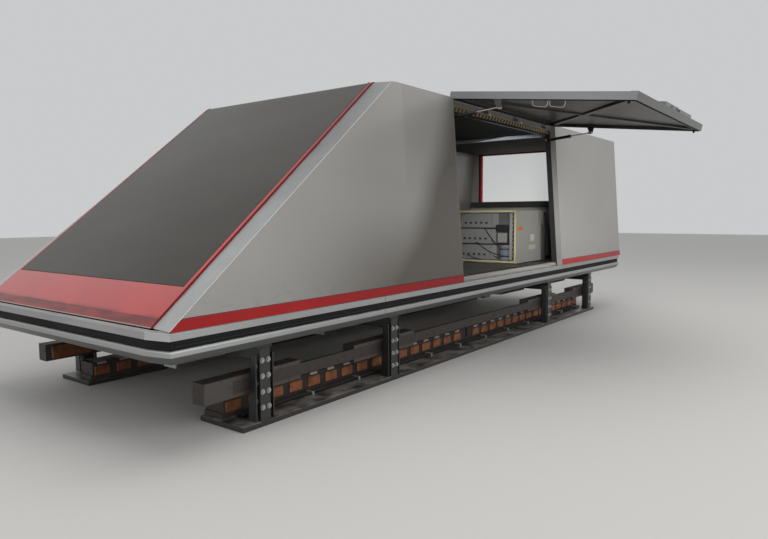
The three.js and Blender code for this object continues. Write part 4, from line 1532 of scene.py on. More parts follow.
@dataclass
class GullDoors(SubAssembly):
    """The two gull-wing doors: skin, folded lining, frame, handles, seals and outside grips."""

    skin: float = 0.020
    clear: float = 0.005
    lift: float = 0.006
    flange: float = 0.006
    frame_wide: float = 0.034
    loop_z: float = 0.848
    loop_tall: float = 0.104
    loop_between: float = 0.013
    loop_deep: float = 0.040
    grip_x: tuple[float, float] = (-0.470, -0.115)
    grip_z: tuple[float, float] = (0.202, 0.262)
    grip_proud: float = 0.034

    def build(self) -> None:
        """Builds both doors."""
        for side in SIDES:
            # Each door's paint carries painted shade on its edge faces, found from the door's outward
            # direction.
            outward = SHAPE.swing(side).to_3x3() @ Vector((0.0, side.sign * 0.997, 0.075))
            paint = replace(PANEL, name=f"door_paint_{side.name}", outer=tuple(outward))
            self.model.dress(f"door_skin_{side.name}", paint, 0.003)
            self.model.dress(f"door_frame_{side.name}", DOOR_FRAME, 0.003)
            self.model.dress(f"door_latch_{side.name}", GRIP, 0.003)
            self._handle(side)
            self._grip_details(side)
            self._lining(side)
            self._braces(side)
            self._buffers(side)
            self._stripe(side)
            self._seal(side)
            self._screws(side)
            self._cable(side)

    @property
    def span(self) -> tuple[float, float]:
        """The door's rear and front ends."""
        return SHAPE.jamb_rear_x + self.clear, SHAPE.jamb_front_x - self.clear

    @property
    def heights(self) -> tuple[float, float]:
        """The door's lower and upper edges when it is shut."""
        return SHAPE.foot_z + self.lift, SHAPE.pivot_z - 0.014

    @property
    def outline(self) -> tuple[float, float, float, float]:
        """The shut door's rear, front, lower and upper edges."""
        return (*self.span, *self.heights)

    def fit(self, piece: Workpiece, side: Side, name: str, finish: Finish,
            replaces: Sequence[str] = ()) -> bpy.types.Object:
        """Moves a piece drawn on the shut left door to its side, and ends it.

        Args:
            piece: the workpiece.
            side: the side it belongs to.
            name: the piece's name without its side.
            finish: its finish.
            replaces: the construction nodes that it stands for.

        Returns:
            The piece.
        """
        piece.transform(SHAPE.swing(side)).for_side(side)
        return piece.part(f"{name}_{side.name}", finish, f"door_{side.name}", replaces)

    @staticmethod
    def inner_y(z: float) -> float:
        """Where the shut door's inner face stands across the car, at a height."""
        return SHAPE.wall_y(z) - SHAPE.wall

    def _handle(self, side: Side) -> None:
        """Bends the two wire loops of the grab handle and screws them on by a narrow plate."""
        x = self.span[1] - self.flange - self.frame_wide / 2
        loops = Workpiece()
        bend = 0.020
        for index in range(2):
            top = self.loop_z - index * (self.loop_tall + self.loop_between)
            low = top - self.loop_tall
            reach = self.inner_y(top) - self.loop_deep
            path = [(x, self.inner_y(top) + 0.002, top)]
            for z, start in ((top - bend, 90.0), (low + bend, 180.0)):
                for step in range(7):
                    turn = math.radians(start + 15.0 * step)
                    path.append((x, reach + bend + bend * math.cos(turn), z + bend * math.sin(turn)))
            path.append((x, self.inner_y(low) + 0.002, low))
            loops.tube(path, 0.0030, 12)
        self.fit(loops, side, "grab_loops", ZINC, (f"door_handle_{side.name}",))
        plate = Workpiece()
        low = self.loop_z - 2 * self.loop_tall - self.loop_between - 0.012
        plate.slab((x - 0.012, x + 0.012), (low, self.loop_z + 0.012),
                   -SHAPE.wall - 0.0003, -SHAPE.wall - 0.0033)
        self.fit(plate.bevel(0.001), side, "grab_plate", DOOR_FRAME)

    def _grip_details(self, side: Side) -> None:
        """Steps the outside grip's housing, sets a second one behind it and adds the dark finger slots."""
        rear, front = self.grip_x
        low, high = self.grip_z
        step = Workpiece()
        proud = self.grip_proud
        step.slab((rear + 0.10, front - 0.02), (low + 0.006, high - 0.012), proud + 0.003, proud - 0.004)
        step.slab((rear - 0.375, rear - 0.014), (low - 0.008, high - 0.028), proud - 0.007, 0.0032)
        self.fit(step.bevel(0.0015), side, "grip_plate", GRIP)
        slots = Workpiece()
        for start in (rear + 0.012, rear + 0.165):
            slots.slab((start, start + 0.055), (low - 0.0008, high - 0.020), proud - 0.006, 0.010)
        self.fit(slots.bevel(0.001), side, "grip_slots", BLACK)

    def _lining(self, side: Side) -> None:
        """Folds four shallow facets of sheet between the frame's bars, over the skin's inner face."""
        rear, front, low, high = self.outline
        edge = self.flange + self.frame_wide + 0.002
        rear, front, low, high = rear + edge, front - edge, low + edge, high - edge
        spots = ((rear, low), (front, low), (front, high), (rear, high))
        folds, backs = ([(x, SHAPE.wall_y(z) - self.skin - deep, z) for x, z in spots]
                        for deep in (0.010, 0.0005))
        middle = (low + high) / 2
        hub = ((rear + front) / 2, SHAPE.wall_y(middle) - self.skin - 0.016, middle)
        lining = Workpiece().slanted([*folds, hub], backs)
        self.fit(lining.bevel(0.004, least=1.0), side, "door_lining", LINING)

    def _braces(self, side: Side) -> None:
        """Faces the crossed brace: one run in black as painted shade, the other like the lining."""
        rear, front, low, high = self.outline
        inset = 0.020
        # The black cover on the one run is painted shade, where that brace lies in shadow.
        runs = (("dark", BLACK, ((rear + inset, high - inset), (front - inset, low + inset))),
                ("pale", LINING, ((rear + inset, low + inset), (front - inset, high - inset))))
        for name, finish, ends in runs:
            way = (Vector(ends[1]) - Vector(ends[0])).normalized()
            half = Vector((-way.y, way.x)) * 0.0205
            cover = Workpiece()
            cover.slanted(*([(x + edge * half.x, SHAPE.wall_y(z + edge * half.y) - deep, z + edge * half.y)
                             for edge in (-1, 1) for deep in (0.0445, 0.0475)] for x, z in ends))
            self.fit(cover.bevel(0.0008), side, f"door_brace_{name}", finish)

    def _buffers(self, side: Side) -> None:
        """Screws a rubber buffer by each lower corner of the frame."""
        buffers = Workpiece()
        z = self.heights[0] + 0.050
        for x in (self.span[0] + 0.024, self.span[1] - 0.024):
            foot = Vector((x, self.inner_y(z) + 0.001, z))
            buffers.rod(foot, foot - Vector((0, 0.020, 0)), 0.010, 16, 0.007)
        self.fit(buffers.bevel(0.001), side, "door_buffers", RUBBER)

    def _stripe(self, side: Side) -> None:
        """Fits the red stripe moulding along the door's foot."""
        rear, front = self.span
        piece = Walls(self.model).stripe(side, rear + 0.002, front - 0.002, self.heights[0] + 0.001, 0.0028)
        self.fit(piece.bevel(0.0012), side, "stripe_door", RED)

    def _seal(self, side: Side) -> None:
        """Runs a rubber lip round the door's inner edge."""
        rear, front, low, high = self.outline
        seal = Workpiece()
        inset = 0.014
        ends = [(rear + inset, low + inset), (front - inset, low + inset), (front - inset, high - 0.04),
                (rear + inset, high - 0.04)]
        for pair in zip(ends, ends[1:] + ends[:1]):
            seal.tube([(x, self.inner_y(z) - 0.001, z) for x, z in pair], 0.0045)
        self.fit(seal, side, "door_lip_seal", RUBBER)

    def _screws(self, side: Side) -> None:
        """Sets rivets along the frame's bars."""
        rear, front, low, high = self.outline
        screws = Workpiece()
        for z in (low + 0.03, high - 0.03):
            for step in range(13):
                x = rear + 0.05 + (front - rear - 0.1) * step / 12
                screws.bolt((x, self.inner_y(z), z), (0, -1, 0), 0.008, 0.0018)
        for x in (rear + 0.03, front - 0.045):
            for step in range(1, 8):
                z = low + (high - low) * step / 8
                screws.bolt((x, self.inner_y(z), z), (0, -1, 0), 0.008, 0.0018)
        self.fit(screws, side, "door_rivets", ZINC)

    def _cable(self, side: Side) -> None:
        """Leads the latch's cable along the frame's rear bar."""
        rear, _, low, high = self.outline
        cable = Workpiece()
        path = []
        for step in range(9):
            z = low + 0.10 + (high - low - 0.25) * step / 8
            path.append((rear + 0.045 + 0.006 * math.sin(step), self.inner_y(z) - 0.004, z))
        cable.tube(path, 0.0035)
        self.fit(cable, side, "door_latch_cable", RUBBER)


@dataclass
class GasStruts(SubAssembly):
    """The gas struts that hold the doors, two on each side."""

    base_y: float = 0.857
    base_z: float = 1.345
    eye_out: float = 0.391
    eye_down: float = 0.102
    inset: float = 0.035
    body_length: float = 0.232

    def build(self) -> None:
        """Builds the struts."""
        ends = (("front", SHAPE.jamb_front_x - self.inset), ("rear", SHAPE.jamb_rear_x + self.inset))
        for side in SIDES:
            for end, x in ends:
                self.model.dress(f"strut_cylinder_{side.name}_{end}", GLOSS_BLACK, 0.0012)
                self.model.dress(f"strut_rod_{side.name}_{end}", STEEL, 0.0008)
                self._fittings(side, end, x)

    def axis(self, side: Side) -> tuple[Vector, Vector]:
        """The pin and the eye in Y and Z on the left side, where that side's door stands."""
        out = Vector((0.0, self.eye_out, -self.eye_down))
        if not side.open:
            out = Matrix.Rotation(math.radians(-SHAPE.swing_degrees), 3, "X") @ out
        eye = Vector((0.0, SHAPE.pivot_y, SHAPE.pivot_z)) + out
        return Vector((0.0, self.base_y, self.base_z)), eye

    def _fittings(self, side: Side, end: str, x: float) -> None:
        """Adds the caps of a cylinder, the clip on its pin and the rod's lock nut."""
        pin, eye = self.axis(side)
        way = (eye - pin).normalized()
        shift = Vector((x, 0, 0))
        cap = Workpiece()
        tip = pin + way * self.body_length + shift
        cap.rod(tip - way * 0.022, tip - way * 0.002, 0.0158, 24)
        cap.rod(tip - way * 0.002, tip + way * 0.004, 0.0140, 24, 0.009)
        cap.rod(pin + way * 0.030 + shift, pin + way * 0.046 + shift, 0.0158, 24)
        cap.bevel(0.0012).for_side(side)
        cap.part(f"strut_caps_{side.name}_{end}", BLACK, f"strut_cylinders_{side.name}")
        nut = Workpiece().rod(eye - way * 0.025 + shift, eye - way * 0.016 + shift, 0.0095, 6)
        nut.bevel(0.0008).for_side(side)
        nut.part(f"strut_nut_{side.name}_{end}", ZINC, f"strut_rods_{side.name}")
        clip = Workpiece()
        out = -1 if end == "front" else 1
        face = Vector((x + out * 0.0125, 0, 0))
        clip.rod(pin + face, pin + face + Vector((out * 0.002, 0, 0)), 0.0105, 20)
        clip.bevel(0.0004).for_side(side).part(f"strut_clip_{side.name}_{end}", STEEL)


@dataclass
class EquipmentCabinet(SubAssembly):
    """The cabinet seen through the open doorway, with its units, hooks, labels and cables."""

    front_x: float = -1.760
    left_y: float = 0.300
    right_y: float = -0.500
    top_z: float = 0.700
    foot_z: float = 0.131
    skin: float = 0.022
    tank: Point = (-1.848, 0.150)
    pipe: Point = (-2.64, 0.36)

    def build(self) -> None:
        """Builds the cabinet."""
        self.model.dress("equipment_cabinet", CABINET, 0.004)
        self.model.dress("cabinet_equipment", UNIT, 0.002)
        self._edging()
        self._hooks()
        self._unit_fronts()
        self._near_column()
        self._labels()
        self._side_plate()
        self._cables()
        self._pipe()

    def _edging(self) -> None:
        """Runs the yellow edging round the cabinet's open front."""
        ring = Workpiece()
        x = (self.front_x - 0.001, self.front_x + 0.003)
        frame_ring(ring, (self.right_y + 0.003, self.left_y - 0.003),
                   (self.foot_z + 0.004, self.top_z - 0.003), 0.010, x)
        ring.bevel(0.0015).part("cabinet_edging", YELLOW)

    def _hooks(self) -> None:
        """Stands a pale rail inside the near edge, with a row of dark hooks beside it."""
        y = self.left_y - self.skin
        x = self.front_x - 0.010
        rail = Workpiece()
        rail.block((x - 0.020, y - 0.058, self.foot_z + 0.03), (x, y - 0.022, self.top_z - 0.03))
        rail.bevel(0.002).part("cabinet_rail", UNIT_FACE)
        hooks = Workpiece()
        for step in range(11):
            z = self.foot_z + 0.045 + step * 0.047
            hooks.block((x - 0.020, y - 0.018, z), (x + 0.004, y - 0.002, z + 0.016))
            hooks.tube([(x - 0.004, y - 0.010, z + 0.004), (x + 0.012, y - 0.012, z + 0.002),
                        (x + 0.014, y - 0.014, z + 0.016)], 0.003)
        hooks.part("cabinet_hooks", BLACK)

    def _unit_fronts(self) -> None:
        """Gives each stacked unit a face plate with handles and sockets."""
        low, high = self.model.box("cabinet_equipment")
        rows = 3
        pitch = (high.z - low.z) / rows
        plates, handles, sockets = Workpiece(), Workpiece(), Workpiece()
        for row in range(rows):
            face = high.x - row * 0.022
            z0, z1 = low.z + row * pitch + 0.010, low.z + (row + 1) * pitch - 0.010
            plates.block((face - 0.001, low.y + 0.030, z0), (face + 0.003, 0.045, z1))
            for y in (low.y + 0.055, high.y - 0.300):
                handles.tube([(face + 0.002, y, z0 + 0.02), (face + 0.026, y, z0 + 0.026),
                              (face + 0.026, y, z1 - 0.026), (face + 0.002, y, z1 - 0.02)], 0.004)
            for step in range(5):
                sockets.rod((face + 0.001, low.y + 0.11 + step * 0.066, z0 + 0.05),
                            (face + 0.012, low.y + 0.11 + step * 0.066, z0 + 0.05), 0.013, 20)
        plates.bevel(0.001).part("unit_faces", UNIT_FACE)
        handles.part("unit_handles", ZINC)
        sockets.bevel(0.001).part("unit_sockets", BLACK)

    def _near_column(self) -> None:
        """Fills the rack's near end: a grey tank with two dark bands below a hooded instrument."""
        tank, bands = Workpiece(), Workpiece()
        tank.rod((*self.tank, 0.156), (*self.tank, 0.325), 0.078, 48)
        tank.bevel(0.010, segments=3).part("rack_tank", GRIP)
        for z in (0.195, 0.272):
            bands.rod((*self.tank, z), (*self.tank, z + 0.014), 0.0795, 48)
        bands.bevel(0.0008).part("rack_tank_bands", BLACK)
        hood, screen = Workpiece(), Workpiece()
        hood.block((-1.900, 0.066, 0.336), (-1.774, 0.206, 0.475))
        hood.block((-1.900, 0.060, 0.470), (-1.766, 0.212, 0.545))
        hood.bevel(0.004).part("rack_instrument", BLACK)
        screen.block((-1.776, 0.080, 0.352), (-1.770, 0.192, 0.456))
        screen.bevel(0.003).part("rack_screen", UNIT_FACE)

    def _labels(self) -> None:
        """Sticks three blank labels on the cabinet's near side."""
        for name, finish, x, z in (("orange", ORANGE, (-1.915, -1.795), (0.484, 0.518)),
                                   ("white", WHITE, (-2.235, -2.128), (0.360, 0.434)),
                                   ("pale", CREAM, (-2.262, -2.090), (0.266, 0.316))):
            label = Workpiece()
            label.block((x[0], self.left_y - 0.0005, z[0]), (x[1], self.left_y + 0.0006, z[1]))
            label.part(f"cabinet_label_{name}", finish)

    def _side_plate(self) -> None:
        """Rounds off the cabinet's rear end and screws a plain cover plate on its near side."""
        low, high = self.model.box("equipment_cabinet")
        end = Workpiece()
        end.block((-2.600, low.y + 0.001, low.z + 0.001), (low.x + 0.050, high.y - 0.001, high.z - 0.001))
        end.bevel(0.035, segments=4).part("cabinet_end", UNIT)
        plate = Workpiece()
        plate.block((-2.465, self.left_y - 0.0005, 0.540), (-2.300, self.left_y + 0.003, 0.685))
        plate.bevel(0.001).part("cabinet_side_plate", CABINET)
        screws = Workpiece()
        for x in (-2.456, -2.309):
            for z in (0.549, 0.676):
                screws.bolt((x, self.left_y + 0.003, z), (0, 1, 0), 0.006, 0.002)
        screws.part("cabinet_plate_screws", ZINC)

    def _cables(self) -> None:
        """Loops a harness of cables across the front of the units."""
        low, high = self.model.box("cabinet_equipment")
        for index in range(5):
            cable = Workpiece()
            start = (low.y + 0.16 + index * 0.11, low.z + 0.05 + (index % 3) * 0.15)
            end = (high.y - 0.05, low.z + 0.03 + index * 0.03)
            path = []
            for step in range(11):
                t = step / 10
                y = start[0] + (end[0] - start[0]) * t
                z = start[1] + (end[1] - start[1]) * t - 0.05 * math.sin(math.pi * t)
                path.append((high.x + 0.012 + 0.016 * math.sin(math.pi * t), y, z))
            cable.tube(path, 0.0045)
            cable.part(f"cabinet_cable_{index}", RUBBER)

    def _pipe(self) -> None:
        """Stands a pipe with clamps behind the cabinet's near corner."""
        pipe = Workpiece().rod((*self.pipe, SHAPE.deck_z + 0.001), (*self.pipe, 1.30), 0.024, 24)
        for z in (0.40, 0.85, 1.20):
            pipe.rod((*self.pipe, z), (*self.pipe, z + 0.03), 0.029, 24)
        pipe.bevel(0.0015).part("cabin_pipe", CABINET)


@dataclass
class SeatsAndConsole(SubAssembly):
    """The padded bench behind the windscreen and the driver's console before it."""

    voxel: float = 0.009
    slack: float = 0.016
    swell: float = 0.014
    channel_ys: tuple[float, ...] = (-0.28, 0.0, 0.28)
    knob: Point = (1.60, 0.52, 0.79)

    def build(self) -> None:
        """Builds the bench and the console."""
        self.model.dress("bench_base", BLACK, 0.004)
        self.model.dress("driver_console", DARK, 0.008)
        self._pad("bench_cushion", 0.65)
        self._pad("bench_back", 0.6)
        self._console_face()

    def _pad(self, node: str, fill: float) -> None:
        """Makes a padded cushion by letting a slightly smaller copy swell as cloth.

        Args:
            node: the plain solid that it stands for.
            fill: how tightly it is filled, from zero to one.
        """
        piece = self.model.copy(node)
        piece.bevel(0.022, segments=3)
        low, high = self.model.box(node)
        centre, size = (low + high) / 2, high - low
        shrink = Matrix.Diagonal([1 - 2 * self.slack / part for part in size]).to_4x4()
        piece.transform(Matrix.Translation(centre) @ shrink @ Matrix.Translation(-centre))
        pad = piece.part(f"{node}_pad", CLOTH, "car", (node,), smooth=180.0)
        pad.modifiers.clear()
        remesh = pad.modifiers.new("even_grid", "REMESH")
        remesh.mode = "VOXEL"
        remesh.voxel_size = self.voxel
        bake_modifiers(pad)
        before = [vert.co.copy() for vert in pad.data.vertices]
        inflate(pad)
        self._settle(pad, before, node)
        smooth = pad.modifiers.new("soft_surface", "SUBSURF")
        smooth.levels = smooth.render_levels = 1

    def _settle(self, pad: bpy.types.Object, before: list[Vector], node: str) -> None:
        """Caps how far the cloth moved, keeps it in its solid's box and draws in the sewn channels.

        Args:
            pad: the cushion.
            before: where each point was before the swelling.
            node: the plain solid that it stands for.
        """
        low, high = self.model.box(node)
        for vert, start in zip(pad.data.vertices, before):
            move = vert.co - start
            if move.length > self.swell:
                vert.co = start + move.normalized() * self.swell
            channel = min(abs(vert.co.y - y) for y in self.channel_ys)
            if channel < 0.02 and vert.normal.dot(Vector((0, 1, 0))) < 0.7:
                vert.co -= vert.normal * 0.007 * math.exp(-(channel / 0.007) ** 2)
            vert.co = Vector(min(max(part, a + 0.001), b - 0.001) for part, a, b in zip(vert.co, low, high))

    def _console_face(self) -> None:
        """Fits the console with a panel, round gauges, switches and a control lever."""
        panel = Workpiece()
        turn = Matrix.Translation((1.640, 0.0, 0.674)) @ Matrix.Rotation(math.radians(-20.6), 4, "Y")
        panel.block((-0.058, -0.50, -0.001), (0.058, 0.50, 0.004))
        panel.bevel(0.0015).transform(turn).part("console_panel", BLACK)
        gauges, glass = Workpiece(), Workpiece()
        for index in range(4):
            y = -0.40 + index * 0.13
            gauges.rod((0.0, y, 0.003), (0.0, y, 0.012), 0.040, 32)
            glass.rod((0.0, y, 0.011), (0.0, y, 0.0135), 0.034, 32)
        gauges.bevel(0.001).transform(turn).part("console_gauges", STEEL)
        glass.bevel(0.0006).transform(turn).part("console_gauge_glass", GLOSS_BLACK)
        switches = Workpiece()
        for row in range(2):
            for column in range(7):
                centre = (-0.028 + row * 0.052, 0.13 + column * 0.045)
                switches.rod((*centre, 0.003), (*centre, 0.009), 0.010, 12)
                switches.rod((*centre, 0.009), (centre[0] + 0.006, centre[1], 0.026), 0.003, 8)
        switches.transform(turn).part("console_switches", STEEL)
        lever = Workpiece().rod((1.66, 0.52, 0.60), self.knob, 0.009)
        bmesh.ops.create_uvsphere(lever.mesh, u_segments=24, v_segments=14, radius=0.024,
                                  matrix=Matrix.Translation(self.knob))
        lever.part("console_lever", BLACK)


def bake_modifiers(piece: bpy.types.Object) -> None:
    """Turns a piece's modifiers into its mesh.

    Args:
        piece: the piece.
    """
    graph = bpy.context.evaluated_depsgraph_get()
    graph.update()
    baked = bpy.data.meshes.new_from_object(piece.evaluated_get(graph))
    piece.modifiers.clear()
    old, piece.data = piece.data, baked
    bpy.data.meshes.remove(old)


def inflate(piece: bpy.types.Object, pressure: float = 4.0, frames: int = 20) -> None:
    """Lets a closed mesh swell as cloth, without gravity.

    Args:
        piece: the piece.
        pressure: the pressure inside it.
        frames: how many frames it swells for.
    """
    cloth = piece.modifiers.new("swelling", "CLOTH")
    cloth.settings.use_pressure = True
    cloth.settings.uniform_pressure_force = pressure
    cloth.settings.effector_weights.gravity = 0.0
    cloth.point_cache.frame_end = frames
    scene = bpy.context.scene
    for number in range(1, frames + 1):
        scene.frame_set(number)
    bake_modifiers(piece)
    scene.frame_set(1)


@dataclass
class Underframe(SubAssembly):
    """The welded ladder frame under the deck, with the converter slung below it."""

    stations: tuple[float, ...] = (-2.35, -1.25, 0.0, 1.25, 2.35)
    beam_y: float = 0.470
    beam_half: float = 0.055

    def build(self) -> None:
        """Builds the frame's dressing."""
        self.model.dress("underframe", BLACK, 0.004)
        self.model.dress("converter_box", CONVERTER, 0.005)
        self._end_plates()
        self._gussets()
        self._cable_tray()
        self._converter_fins()
        self._converter_fittings()

    def _end_plates(self) -> None:
        """Bolts a plate with a towing eye over each beam's end."""
        for place, x, way in (("front", 2.760, 1), ("rear", -2.800, -1)):
            plates, bolts = Workpiece(), Workpiece()
            for y in (-self.beam_y, self.beam_y):
                near, far = sorted((x, x + way * 0.010))
                plates.block((near, y - 0.065, 0.004), (far, y + 0.065, 0.106))
                for dy in (-0.045, 0.045):
                    for z in (0.022, 0.088):
                        bolts.bolt((x + way * 0.010, y + dy, z), (way, 0, 0), 0.016, 0.008)
                turns = [math.pi * step / 10 for step in range(11)]
                eye = [(x + way * (0.010 + 0.038 * math.sin(turn)), y + 0.030 * math.cos(turn), 0.055)
                       for turn in turns]
                plates.tube(eye, 0.008, 10)
            plates.bevel(0.002, least=50.0).part(f"beam_end_plates_{place}", BLACK)
            bolts.part(f"beam_end_bolts_{place}", ZINC)

    def _gussets(self) -> None:
        """Welds triangular gussets between beams and bearers."""
        gussets = Workpiece()
        reach = 0.09
        for x in self.stations:
            for way in (-1, 1):
                for y in (self.beam_y + self.beam_half, -self.beam_y - self.beam_half):
                    out = 1 if y > 0 else -1
                    start = x + way * 0.0495
                    outline = [(start, y), (start + way * reach, y), (start, y + out * reach)]
                    gussets.plate(outline, Axis.Z, 0.048, 0.056)
        gussets.part("frame_gussets", BLACK)

    def _cable_tray(self) -> None:
        """Runs a ladder tray with cables along the middle of the frame."""
        tray = Workpiece()
        for y in (-0.13, 0.13):
            tray.block((-2.30, y - 0.004, 0.045), (2.30, y + 0.004, 0.085))
        for step in range(24):
            x = -2.25 + step * 0.195
            if all(abs(x - station) > 0.06 for station in self.stations):
                tray.block((x - 0.012, -0.127, 0.047), (x + 0.012, 0.127, 0.052))
        tray.bevel(0.0012).part("cable_tray", ZINC)
        for index in range(6):
            cable = Workpiece()
            y = -0.09 + index * 0.036
            path = [(-2.28 + step * 0.19, y + 0.006 * math.sin(step * 1.7 + index),
                     0.062 + 0.003 * math.cos(step + index)) for step in range(25)]
            cable.tube(path, 0.010 if index % 2 else 0.013)
            cable.part(f"tray_cable_{index}", RUBBER)

    def _converter_fins(self) -> None:
        """Lines the converter's underside with cooling fins."""
        low, high = self.model.box("converter_box")
        fins = Workpiece()
        for step in range(15):
            y = low.y + 0.05 + step * (high.y - low.y - 0.1) / 14
            fins.block((low.x + 0.06, y - 0.002, low.z - 0.016), (high.x - 0.06, y + 0.002, low.z + 0.001))
        fins.bevel(0.0008).part("converter_fins", ZINC)

    def _converter_fittings(self) -> None:
        """Fits the converter with lids, catches and cable glands."""
        low, high = self.model.box("converter_box")
        lids = Workpiece()
        middle = (low.z + high.z) / 2
        for side in (-1, 1):
            y = high.y if side > 0 else low.y
            for step in range(2):
                x = low.x + 0.04 + step * 0.44
                near, far = sorted((y, y + side * 0.004))
                lids.block((x, near, low.z + 0.012), (x + 0.42, far, high.z - 0.012))
        lids.bevel(0.0015).part("converter_lids", CONVERTER)
        catches = Workpiece()
        for side in (-1, 1):
            y = (high.y if side > 0 else low.y) + side * 0.004
            for step in range(8):
                x = low.x + 0.09 + step * 0.11
                near, far = sorted((y, y + side * 0.007))
                catches.block((x - 0.009, near, middle + 0.008), (x + 0.009, far, middle + 0.034))
        catches.bevel(0.0015).part("converter_catches", ZINC)
        glands = Workpiece()
        for end, way in ((low.x, -1), (high.x, 1)):
            for step in range(6):
                y = -0.25 + step * 0.1
                glands.rod((end, y, middle), (end + way * 0.018, y, middle), 0.016, 6)
                glands.rod((end + way * 0.018, y, middle), (end + way * 0.034, y, middle), 0.012, 16, 0.008)
        glands.bevel(0.001).part("converter_glands", BLACK)


@dataclass
class LevitationGear(SubAssembly):
    """Magnet carriers, lifting and guiding magnets and landing skids on both sides."""

    stations: tuple[float, ...] = (-2.35, -1.25, 1.25, 2.35)
    magnet_gaps: tuple[float, ...] = (-1.25, 0.0, 1.25)
    pole_pitch: float = 0.150
    reach: float = 2.480
    sole_z: float = -0.3725
    rib_outline: tuple[Point, ...] = ((0.866, -0.03), (0.896, -0.03), (0.896, -0.368), (0.836, -0.368))

    def build(self) -> None:
        """Builds the gear's dressing."""
        for side in SIDES:
            self.model.dress(f"magnet_carrier_{side.name}", BLACK, 0.004)
            self.model.dress(f"lift_magnets_{side.name}", LAMINATE, 0.002)
            self.model.dress(f"guide_magnets_{side.name}", LAMINATE, 0.002)
            self.model.dress(f"skids_{side.name}", ZINC, 0.003)
            self._lift_coils(side)
            self._guide_coils(side)
            self._carrier_details(side)
            self._skid_details(side)
            self._sensors(side)
            self._harness(side)

    def _lift_coils(self, side: Side) -> None:
        """Winds a coil round each pole of the lifting magnets, under a pole shoe."""
        low, high = self.model.box(f"lift_magnets_{side.name}")
        near, far = sorted((abs(low.y), abs(high.y)))
        coils, shoes = Workpiece(), Workpiece()
        poles = int(2 * self.reach / self.pole_pitch)
        for index in range(poles):
            x = -self.reach + (index + 0.5) * 2 * self.reach / poles
            if min(abs(x - gap) for gap in self.magnet_gaps) < 0.045:
                continue
            coils.block((x - 0.052, near - 0.009, high.z - 0.082), (x + 0.052, far + 0.009, high.z - 0.020))
            shoes.block((x - 0.030, near - 0.004, high.z - 0.014), (x + 0.030, far + 0.004, high.z + 0.0012))
        coils.bevel(0.008, segments=3).fit(side, "lift_coils", COPPER)
        shoes.bevel(0.0015).fit(side, "lift_pole_shoes", ZINC)

    def _guide_coils(self, side: Side) -> None:
        """Winds the flat coils of the guiding magnets."""
        low, high = self.model.box(f"guide_magnets_{side.name}")
        near = min(abs(low.y), abs(high.y))
        coils = Workpiece()
        for x in self.stations:
            for half in (-0.155, 0.155):
                centre = x + half
                rear, front, foot, top = centre - 0.13, centre + 0.13, low.z + 0.012, high.z - 0.012
                outline = [(rear, foot), (front, foot), (front, top), (rear, top)]
                coils.plate(outline, Axis.Y, near - 0.010, near + 0.012)
        coils.bevel(0.007, segments=3).fit(side, "guide_coils", COPPER)

    def _carrier_details(self, side: Side) -> None:
        """Adds ribs and bolts to the carrier's legs."""
        ribs, bolts = Workpiece(), Workpiece()
        for x in self.stations:
            for way in (-1, 1):
                start = x + way * 0.0345
                middle = start + way * 0.0225
                ribs.plate(self.rib_outline, Axis.X, middle - 0.004, middle + 0.004)
                for z in (-0.09, -0.18, -0.27):
                    bolts.bolt((start, 0.866, z), (way, 0, 0), 0.020, 0.010)
            for z in (-0.06, -0.14, -0.22, -0.30):
                for dx in (-0.020, 0.020):
                    bolts.bolt((x + dx, 0.900, z), (0, 1, 0), 0.018, 0.009)
        ribs.bevel(0.0015).fit(side, "carrier_ribs", BLACK)
        bolts.fit(side, "carrier_bolts", ZINC)

    def _skid_details(self, side: Side) -> None:
        """Fits wear shoes and bolts to the landing skids."""
        low, high = self.model.box(f"skids_{side.name}")
        near, far = sorted((abs(low.y), abs(high.y)))
        shoes, bolts = Workpiece(), Workpiece()
        for x in self.stations:
            shoes.block((x - 0.25, near - 0.006, low.z + 0.001), (x + 0.25, far + 0.006, low.z + 0.020))
            for dx in (-0.21, -0.07, 0.07, 0.21):
                for y, way in ((near, -1), (far, 1)):
                    bolts.bolt((x + dx, y, low.z + 0.045), (0, way, 0), 0.016, 0.008)
        shoes.bevel(0.004).fit(side, "skid_shoes", SKID_SHOE)
        bolts.fit(side, "skid_bolts", ZINC)

    def _sensors(self, side: Side) -> None:
        """Sets a sensor in each gap between the magnets."""
        sensors = Workpiece()
        for x in self.magnet_gaps:
            sensors.block((x - 0.010, 0.60, -0.345), (x + 0.010, 0.68, -0.268))
            sensors.rod((x, 0.64, -0.268), (x, 0.64, -0.262), 0.009, 16)
        sensors.bevel(0.0015).fit(side, "gap_sensors", ORANGE)

    def _harness(self, side: Side) -> None:
        """Clips two cables along the top of the carrier's sole."""
        for index, y in enumerate((0.745, 0.765)):
            cable = Workpiece()
            z = self.sole_z + 0.010 + 0.001 * index
            path = [(-2.40 + step * 0.2, y + 0.004 * math.sin(step * 1.3 + index), z) for step in range(25)]
            cable.tube(path, 0.008)
            cable.fit(side, f"sole_cable_{index}", RUBBER)
        clips = Workpiece()
        for step in range(12):
            x = -2.3 + step * 0.418
            clips.block((x - 0.008, 0.728, self.sole_z), (x + 0.008, 0.782, -0.350))
        clips.bevel(0.002).fit(side, "cable_clips", ZINC)


# Studio


